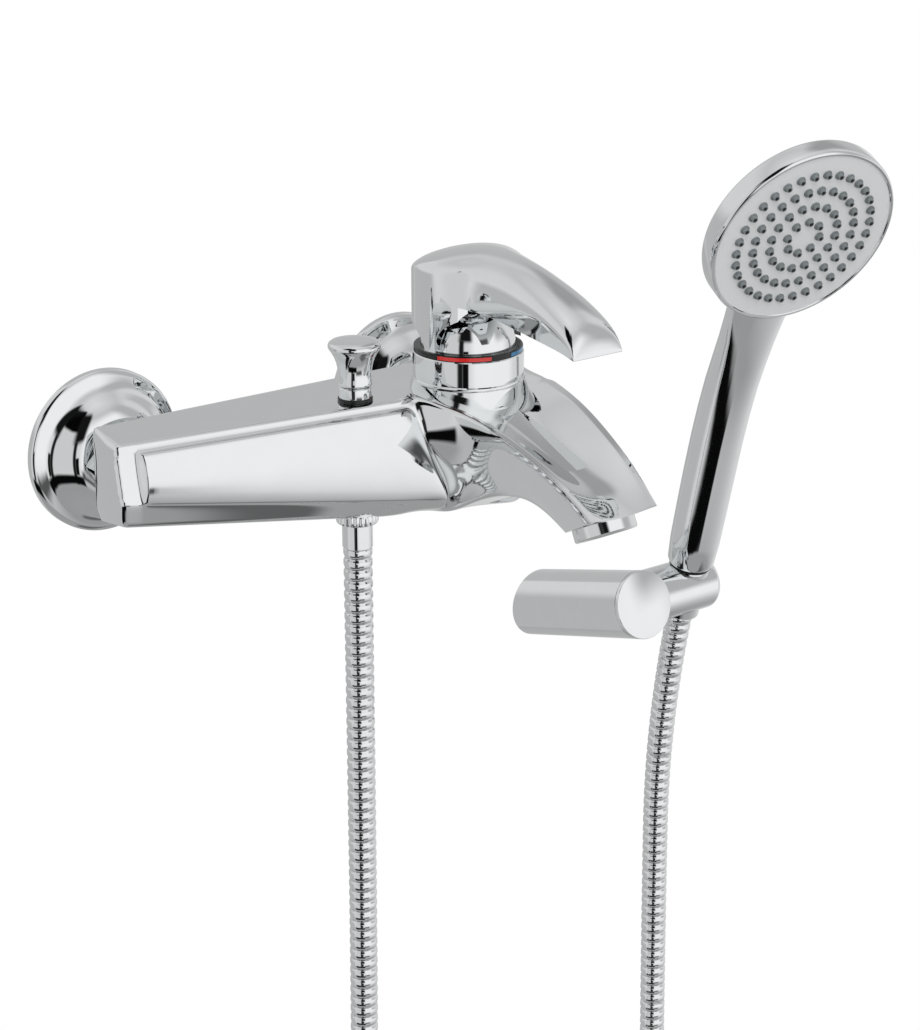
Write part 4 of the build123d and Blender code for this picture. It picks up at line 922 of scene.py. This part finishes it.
class BATH_OT_bracket(bpy.types.Operator):
    """Model the wall bracket: barrel, cap and swivel arm"""
    bl_idname = "bath.bracket"
    bl_label = "Wall bracket"

    def execute(self, context):
        sizes = context.scene.mixer_sizes
        radius = sizes.barrel_radius / MM
        arm_radius = sizes.arm_radius / MM
        tip = along(BRACKET, BARREL_DIR, BARREL_LENGTH - CAP_DEPTH)
        barrel = rod_mesh("barrel", radius, along(BRACKET, BARREL_DIR, -12.0), tip, 128)
        bm = bmesh.new()
        bm.from_mesh(barrel)
        # The slanting barrel is cut off flush with the wall
        cut = bmesh.ops.bisect_plane(bm, geom=list(bm.verts) + list(bm.edges) + list(bm.faces),
                                     plane_co=(0, 0, 0), plane_no=(0, 1, 0), clear_outer=True)
        rim = [part for part in cut["geom_cut"] if isinstance(part, bmesh.types.BMEdge)]
        bmesh.ops.holes_fill(bm, edges=rim, sides=0)
        barrel = close_mesh(bm, "barrel")
        inner = rod_mesh("inner", radius - BARREL_WALL, along(BRACKET, BARREL_DIR, -14.0),
                         along(BRACKET, BARREL_DIR, 22.0), 96)
        arm_start = (ARM_CENTRE[0] + radius - 2.0, ARM_CENTRE[1], ARM_CENTRE[2])
        arm_end = (ARM_CENTRE[0] + ARM_REACH, ARM_CENTRE[1], ARM_CENTRE[2])
        saddle = rod_mesh("saddle", arm_radius + 0.3, arm_start, arm_end, 96)
        barrel = combined("barrel_shell", barrel, [inner, saddle])
        finish_object("barrel_shell", barrel, MATERIALS["chrome"], "mixer", ["bracket_barrel"])
        cap = [(0.0, 0.0), (radius - 0.4, 0.0), (radius - 0.4, 0.35), (radius, 0.35), (radius, 1.9),
               (radius - 0.15, 2.25), (radius - 0.5, CAP_DEPTH), (0.0, CAP_DEPTH)]
        finish_object("cap_shell", turned_mesh("cap_shell", cap, frame_at(tip, BARREL_DIR), steps=128),
                      MATERIALS["chrome"], "mixer", ["bracket_cap"])
        length = arm_end[0] - arm_start[0]
        outline = [(0.0, 0.0), (arm_radius, 0.0), (arm_radius, length - ARM_ROUND)]
        for step in range(1, 9):
            angle = math.radians(90 * step / 8)
            outline.append((arm_radius - ARM_ROUND * (1 - math.cos(angle)),
                            length - ARM_ROUND + ARM_ROUND * math.sin(angle)))
        outline.append((0.0, length))
        arm = turned_mesh("arm", outline, frame_at(arm_start, (1.0, 0.0, 0.0), (0.0, 0.0, 1.0)), steps=128)
        seat_place = frame_at(SEAT, HANDLE_DIR)
        seat = turned_mesh("seat", [(0.0, -24.0), (8.27, -24.0), (10.35, 22.0), (0.0, 22.0)], seat_place,
                           steps=96)
        bm = bmesh.new()
        bmesh.ops.create_cube(bm, size=1.0)
        bmesh.ops.scale(bm, vec=mm(13.4, 25.6, 60.0), verts=bm.verts)
        bmesh.ops.transform(bm, matrix=seat_place @ Matrix.Translation(mm(0, 12.8, 0)), verts=bm.verts)
        slot = close_mesh(bm, "slot")
        arm = combined("arm_shell", arm, [seat, slot])
        finish_object("arm_shell", arm, MATERIALS["chrome"], "holder", ["swivel_arm"])
        return {"FINISHED"}


# Sections of the handle: how far up and out each is, and its half width and half depth
HANDLE_STATIONS = ((13.3, 0.0, 10.2, 10.2), (15.0, 0.0, 11.0, 11.0), (26.0, 0.0, 11.7, 11.6),
                   (45.0, 0.1, 11.9, 11.8), (60.0, 0.2, 12.0, 11.9), (80.0, 0.6, 12.05, 11.9),
                   (95.0, 1.4, 12.1, 11.8), (110.0, 2.9, 12.3, 11.5), (122.0, 4.9, 12.7, 11.0),
                   (134.0, 7.2, 13.5, 10.1), (145.0, 9.4, 14.8, 8.9), (155.0, 12.1, 16.8, 7.2),
                   (166.0, 15.6, 19.0, 5.6), (178.0, 19.4, 21.0, 4.4))
HANDLE_FACETS = 64
# The rim's seam under the head's face, and where the dome begins and how far back it goes
SEAM = -3.2
DOME_EDGE = -10.7
DOME_DEPTH = 10.3
DOME_STEPS = 12
NOZZLE_RINGS = 4
NOZZLE_PITCH = 8.1
# Each nozzle's cones, and the black disc of painted shade in its mouth: radius at the foot and the tip,
# length and middle
NOZZLE_CONES = ((2.15, 1.95, 0.8, -0.5), (1.65, 1.3, 2.4, 0.1))
NOZZLE_MOUTH_SHADE = ((0.8, 0.8, 0.3, 1.25),)


class BATH_OT_hand_shower(bpy.types.Operator):
    """Model the hand shower: handle, round head, rim, spray plate and nozzles"""
    bl_idname = "bath.hand_shower"
    bl_label = "Hand shower"

    def execute(self, context):
        sizes = context.scene.mixer_sizes
        head = frame_at(HEAD_CENTRE, FACE_DIR, HANDLE_SIDE)
        radius = sizes.head_radius / MM
        plate_radius = sizes.plate_radius / MM
        rings = []
        for up, out, half_width, half_depth in HANDLE_STATIONS:
            middle = along(along(SEAT, HANDLE_DIR, up), HANDLE_FRONT, out)
            place = frame_at(middle, HANDLE_DIR, HANDLE_SIDE)
            rings.append([place @ mm(half_width * math.cos(a), half_depth * math.sin(a), 0)
                          for a in angles(HANDLE_FACETS)])
        handle = bridged_mesh("handle", rings)
        dome = [(0.0, SEAM), (radius, SEAM), (radius, -8.8), (radius - 0.4, -9.8), (radius - 1.6, DOME_EDGE)]
        for step in range(1, DOME_STEPS + 1):
            share = step / DOME_STEPS
            rise = math.sin(math.radians(90 * share)) ** 0.8
            dome.append(((radius - 1.6) * (1 - share), DOME_EDGE - DOME_DEPTH * rise))
        shell = combined("shower_body", handle, [turned_mesh("dome", dome, head, steps=128)], "UNION")
        finish_object("shower_body", shell, MATERIALS["plated"], "hand_shower", ["shower_shell"],
                      smooth=math.radians(45))
        rim = [(plate_radius, SEAM), (radius, SEAM), (radius, -1.4), (radius - 0.35, -0.5),
               (radius - 1.0, 0.0), (plate_radius + 0.3, -0.1), (plate_radius, -0.5)]
        finish_object("rim_shell", turned_mesh("rim_shell", rim, head, steps=128), MATERIALS["plated"],
                      "hand_shower", ["shower_rim"])
        bm = bmesh.new()
        bmesh.ops.create_cone(bm, cap_ends=True, segments=128, radius1=plate_radius * MM,
                              radius2=plate_radius * MM, depth=2.0 * MM,
                              matrix=head @ Matrix.Translation(mm(0, 0, -1.7)))
        finish_object("plate_shell", close_mesh(bm, "plate_shell"), MATERIALS["satin"], "hand_shower",
                      ["spray_plate"])
        spots = []
        for ring_number in range(1, NOZZLE_RINGS + 1):
            out = NOZZLE_PITCH * ring_number
            spots += [(out * math.cos(a), out * math.sin(a)) for a in angles(8 * ring_number)]
        # The black discs on the nozzles' tips are painted shade for the holes in them
        for name, finish, cones, nodes in (("nozzles", "nozzle", NOZZLE_CONES, ["spray_nozzles"]),
                                           ("nozzle_mouth_shade", "rubber", NOZZLE_MOUTH_SHADE, [])):
            bm = bmesh.new()
            for across, up in spots:
                for foot, tip, depth, middle in cones:
                    place = head @ Matrix.Translation(mm(across, up, middle))
                    bmesh.ops.create_cone(bm, cap_ends=True, segments=20, radius1=foot * MM,
                                          radius2=tip * MM, depth=depth * MM, matrix=place)
            finish_object(name, close_mesh(bm, name), MATERIALS[finish], "hand_shower", nodes)
        seat_place = frame_at(SEAT, HANDLE_DIR)
        ring = [(6.8, 11.7), (9.75, 11.7), (9.75, 13.3), (6.8, 13.3)]
        finish_object("ring_under_handle", turned_mesh("ring_under_handle", ring, seat_place, edge=0.3),
                      MATERIALS["black"], "hand_shower", ["shower_ring"])
        return {"FINISHED"}


NODE_FINISHES = {
    "brass": ("inlet_union_left", "inlet_union_right", "inlet_tail_left", "inlet_tail_right", "cartridge_nut",
              "diverter_seat"),
    "chrome": ("union_nut_left", "union_nut_right", "lever_plug"),
    "rubber": ("union_washer_left", "union_washer_right", "base_seal", "aerator_washer", "hose_washer",
               "cone_washer", "diverter_plug"),
    "plastic": ("check_valve_left", "check_valve_right", "cartridge_housing", "cartridge_turret",
                "aerator_insert", "wall_anchor"),
    "ceramic": ("fixed_disc", "moving_disc"),
    "steel": ("lever_stem", "stem_pin", "lever_set_screw", "barrel_grub_screw", "wall_screws", "arm_axle",
              "diverter_rod", "shower_nipple"),
    "black": ("friction_washer",),
}


class BATH_OT_inner_parts(bpy.types.Operator):
    """Give the solids that keep their own shape their finishes"""
    bl_idname = "bath.inner_parts"
    bl_label = "Inner parts"

    def execute(self, context):
        for finish, nodes in NODE_FINISHES.items():
            for node in nodes:
                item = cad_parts[node]
                if not item.material_slots:
                    item.data.materials.append(None)
                for slot in item.material_slots:
                    slot.link = "OBJECT"
                    slot.material = MATERIALS[finish]
        return {"FINISHED"}


# Studio

CAMERA_SPOT = (-547.1, -858.5, 305.7)
CAMERA_BACK = (-0.5805, -0.7447, 0.3294)
CAMERA_SIDE = (0.7887, -0.6148, 0.0)
CAMERA_SHIFT = (-0.0174, 0.0059)
SENSOR_HEIGHT = 36.0
WALL_GAP = 8.0
WALL_REACH = 3.0
# The key light's place, what it looks at and its width, in metres
KEY_SPOT = (-0.9, -1.3, 1.3)
KEY_AIM = (0.1, -0.05, 0.0)
KEY_WIDTH = 1.2
# Grey levels of the studio, as the chrome shows them, by elevation in degrees
LEVELS = ((-90, 0.60), (-50, 0.58), (-44, 0.66), (-30, 0.80), (0, 0.82), (45, 0.80), (58, 0.74), (74, 0.80),
          (90, 0.86))
# Soft-edged patches of the studio: azimuth from and to in degrees from the room side, positive
# to the right, elevation from and to, softness of the edges and grey level. Each lies over those before it
PATCHES = (
    (-181, -112, -60, 10, 8, 0.69),
    (100, 181, 2, 46, 8, 0.70),
    (140, 181, -60, 2, 8, 0.66),
    (-30, 62, -24, 40, 12, 0.92),
    (35, 72, 8, 58, 10, 0.68),
    (108, 132, 30, 62, 8, 0.60),
    (20, 62, -74, -58, 6, 0.36),
    (-100, -60, -28, 34, 5, 0.78),
    (-93, -56, 35, 73, 3, 0.02),
    (-62, -28, 16, 68, 6, 0.08),
    (-60, -48, -46, 20, 3, 0.10),
    (-49, -37, -30, -6, 1.5, 0.05),
    (-106, -22, -46, -31, 3, 0.03),
    (-26, 14, -35, -24, 4, 0.32),
)
# Share of the light that the chrome gives back
CHROME_SHARE = 0.82


def grey(level):
    """A grey of the studio from the level its mirror image has in chrome."""
    value = linear("%02X%02X%02X" % ((round(level * 255),) * 3))[0] / CHROME_SHARE
    return (value, value, value, 1.0)


def fill_ramp(ramp, stops):
    """Fill a colour ramp with grey stops given over their own range."""
    low = stops[0][0]
    span = stops[-1][0] - low
    while len(ramp.elements) > 1:
        ramp.elements.remove(ramp.elements[-1])
    ramp.elements[0].position = 0.0
    ramp.elements[0].color = grey(stops[0][1])
    for place, level in stops[1:]:
        stop = ramp.elements.new((place - low) / span)
        stop.color = grey(level)


def add_camera(scene, focal):
    """The camera at the photograph's angle."""
    lens = bpy.data.cameras.new("camera")
    lens.lens = focal
    lens.sensor_fit = "VERTICAL"
    lens.sensor_height = SENSOR_HEIGHT
    lens.shift_x, lens.shift_y = CAMERA_SHIFT
    lens.clip_start = 0.05
    back = Vector(CAMERA_BACK).normalized()
    side = Vector(CAMERA_SIDE).normalized()
    turn = Matrix((side, back.cross(side), back)).transposed().to_4x4()
    camera = bpy.data.objects.new("camera", lens)
    camera.matrix_world = Matrix.Translation(mm(*CAMERA_SPOT)) @ turn
    scene.collection.objects.link(camera)
    scene.camera = camera


def add_wall(scene):
    """The white wall, which shows to the camera from the room's side and to no other ray."""
    material = bpy.data.materials.new("white_wall")
    material.use_nodes = True
    tree = material.node_tree
    tree.nodes.clear()
    rays = add_node(tree, "ShaderNodeLightPath")
    facing = add_node(tree, "ShaderNodeNewGeometry")
    front = add_node(tree, "ShaderNodeMath", {"operation": "SUBTRACT"})
    tree.links.new(rays.outputs["Is Camera Ray"], front.inputs[0])
    tree.links.new(facing.outputs["Backfacing"], front.inputs[1])
    clear = add_node(tree, "ShaderNodeBsdfTransparent")
    white = add_node(tree, "ShaderNodeEmission")
    either = add_node(tree, "ShaderNodeMixShader", Fac=front.outputs[0])
    tree.links.new(clear.outputs[0], either.inputs[1])
    tree.links.new(white.outputs[0], either.inputs[2])
    add_node(tree, "ShaderNodeOutputMaterial", Surface=either.outputs[0])
    bm = bmesh.new()
    bmesh.ops.create_grid(bm, x_segments=1, y_segments=1, size=WALL_REACH,
                          matrix=frame_at((0.0, WALL_GAP, 0.0), (0.0, -1.0, 0.0)))
    mesh = bpy.data.meshes.new("wall")
    bm.to_mesh(mesh)
    bm.free()
    mesh.materials.append(material)
    wall = bpy.data.objects.new("wall", mesh)
    scene.collection.objects.link(wall)


def add_key_light(scene, power):
    """A large soft lamp above the camera, which the chrome doesn't mirror."""
    lamp = bpy.data.lights.new("key", "AREA")
    lamp.energy = power
    lamp.size = KEY_WIDTH
    key = bpy.data.objects.new("key", lamp)
    key.location = KEY_SPOT
    key.visible_glossy = False
    key.rotation_euler = (Vector(KEY_AIM) - key.location).to_track_quat("-Z", "Y").to_euler()
    scene.collection.objects.link(key)


def studio_directions(tree):
    """The azimuth and the elevation that a ray leaves in, in degrees."""
    place = add_node(tree, "ShaderNodeTexCoord")
    parts = add_node(tree, "ShaderNodeSeparateXYZ", Vector=place.outputs["Generated"])
    negative = add_node(tree, "ShaderNodeMath", {"operation": "MULTIPLY"}, {1: -1.0})
    tree.links.new(parts.outputs["Y"], negative.inputs[0])
    heading = add_node(tree, "ShaderNodeMath", {"operation": "ARCTAN2"})
    tree.links.new(parts.outputs["X"], heading.inputs[0])
    tree.links.new(negative.outputs[0], heading.inputs[1])
    rise = add_node(tree, "ShaderNodeMath", {"operation": "ARCSINE"})
    tree.links.new(parts.outputs["Z"], rise.inputs[0])
    degrees = []
    for angle in (heading, rise):
        node = add_node(tree, "ShaderNodeMath", {"operation": "DEGREES"})
        tree.links.new(angle.outputs[0], node.inputs[0])
        degrees.append(node.outputs[0])
    return degrees


def studio_world(strength):
    """The grey studio: levels by height with soft patches over them, and white to the camera alone."""
    world = bpy.data.worlds.new("grey_studio")
    world.use_nodes = True
    tree = world.node_tree
    tree.nodes.clear()
    azimuth, elevation = studio_directions(tree)
    share = add_node(tree, "ShaderNodeMapRange", inputs={"From Min": -90.0, "From Max": 90.0},
                     Value=elevation)
    levels = add_node(tree, "ShaderNodeValToRGB", Fac=share.outputs["Result"])
    fill_ramp(levels.color_ramp, LEVELS)
    studio = levels.outputs["Color"]
    for west, east, low, high, soft, level in PATCHES:
        mask = None
        for source, edge, way in ((azimuth, west, 1), (azimuth, east, -1), (elevation, low, 1),
                                  (elevation, high, -1)):
            side = add_node(tree, "ShaderNodeMapRange", {"interpolation_type": "SMOOTHSTEP"},
                            {"From Min": edge - soft * way, "From Max": edge + soft * way}, Value=source)
            if mask is None:
                mask = side.outputs["Result"]
                continue
            both = add_node(tree, "ShaderNodeMath", {"operation": "MULTIPLY"})
            tree.links.new(mask, both.inputs[0])
            tree.links.new(side.outputs["Result"], both.inputs[1])
            mask = both.outputs[0]
        patch = add_node(tree, "ShaderNodeMix", {"data_type": "RGBA"}, {7: grey(level)})
        tree.links.new(mask, patch.inputs[0])
        tree.links.new(studio, patch.inputs[6])
        studio = patch.outputs[2]
    rays = add_node(tree, "ShaderNodeLightPath")
    seen = add_node(tree, "ShaderNodeMix", {"data_type": "RGBA"}, {7: (1, 1, 1, 1)})
    tree.links.new(rays.outputs["Is Camera Ray"], seen.inputs[0])
    tree.links.new(studio, seen.inputs[6])
    background = add_node(tree, "ShaderNodeBackground", inputs={"Strength": strength}, Color=seen.outputs[2])
    add_node(tree, "ShaderNodeOutputWorld", Surface=background.outputs[0])
    return world


class BATH_OT_stage(bpy.types.Operator):
    """Set the camera, the white wall behind the object, the key light and the grey studio round it"""
    bl_idname = "bath.stage"
    bl_label = "Studio"

    def execute(self, context):
        scene = context.scene
        settings = scene.mixer_studio
        scene.view_settings.view_transform = "Standard"
        add_camera(scene, settings.focal)
        add_wall(scene)
        add_key_light(scene, settings.key)
        scene.world = studio_world(settings.world)
        return {"FINISHED"}


class BATH_PT_panel(bpy.types.Panel):
    """The steps that build the mixer"""
    bl_idname = "BATH_PT_panel"
    bl_label = "Bath mixer"
    bl_space_type = "VIEW_3D"
    bl_region_type = "UI"
    bl_category = "Bath mixer"

    def draw(self, context):
        for step in STEPS:
            self.layout.operator(step.bl_idname)


STEPS = (BATH_OT_stage, BATH_OT_rosettes, BATH_OT_body, BATH_OT_tower, BATH_OT_lever, BATH_OT_diverter,
         BATH_OT_aerator, BATH_OT_hose, BATH_OT_bracket, BATH_OT_hand_shower, BATH_OT_inner_parts)
GROUPS = (MixerSizes, FinishColours, StudioSettings)


def register():
    """Register the classes and the settings."""
    for item in GROUPS + STEPS + (BATH_PT_panel,):
        bpy.utils.register_class(item)
    bpy.types.Scene.mixer_sizes = bpy.props.PointerProperty(type=MixerSizes)
    bpy.types.Scene.mixer_colours = bpy.props.PointerProperty(type=FinishColours)
    bpy.types.Scene.mixer_studio = bpy.props.PointerProperty(type=StudioSettings)


def unregister():
    """Remove the settings and the classes."""
    del bpy.types.Scene.mixer_sizes
    del bpy.types.Scene.mixer_colours
    del bpy.types.Scene.mixer_studio
    for item in reversed(GROUPS + STEPS + (BATH_PT_panel,)):
        bpy.utils.unregister_class(item)


def main():
    """Build everything."""
    register()
    make_materials(bpy.context.scene.mixer_colours)
    for step in STEPS:
        group, name = step.bl_idname.split(".")
        getattr(getattr(bpy.ops, group), name)()


if __name__ == "__main__":
    main()
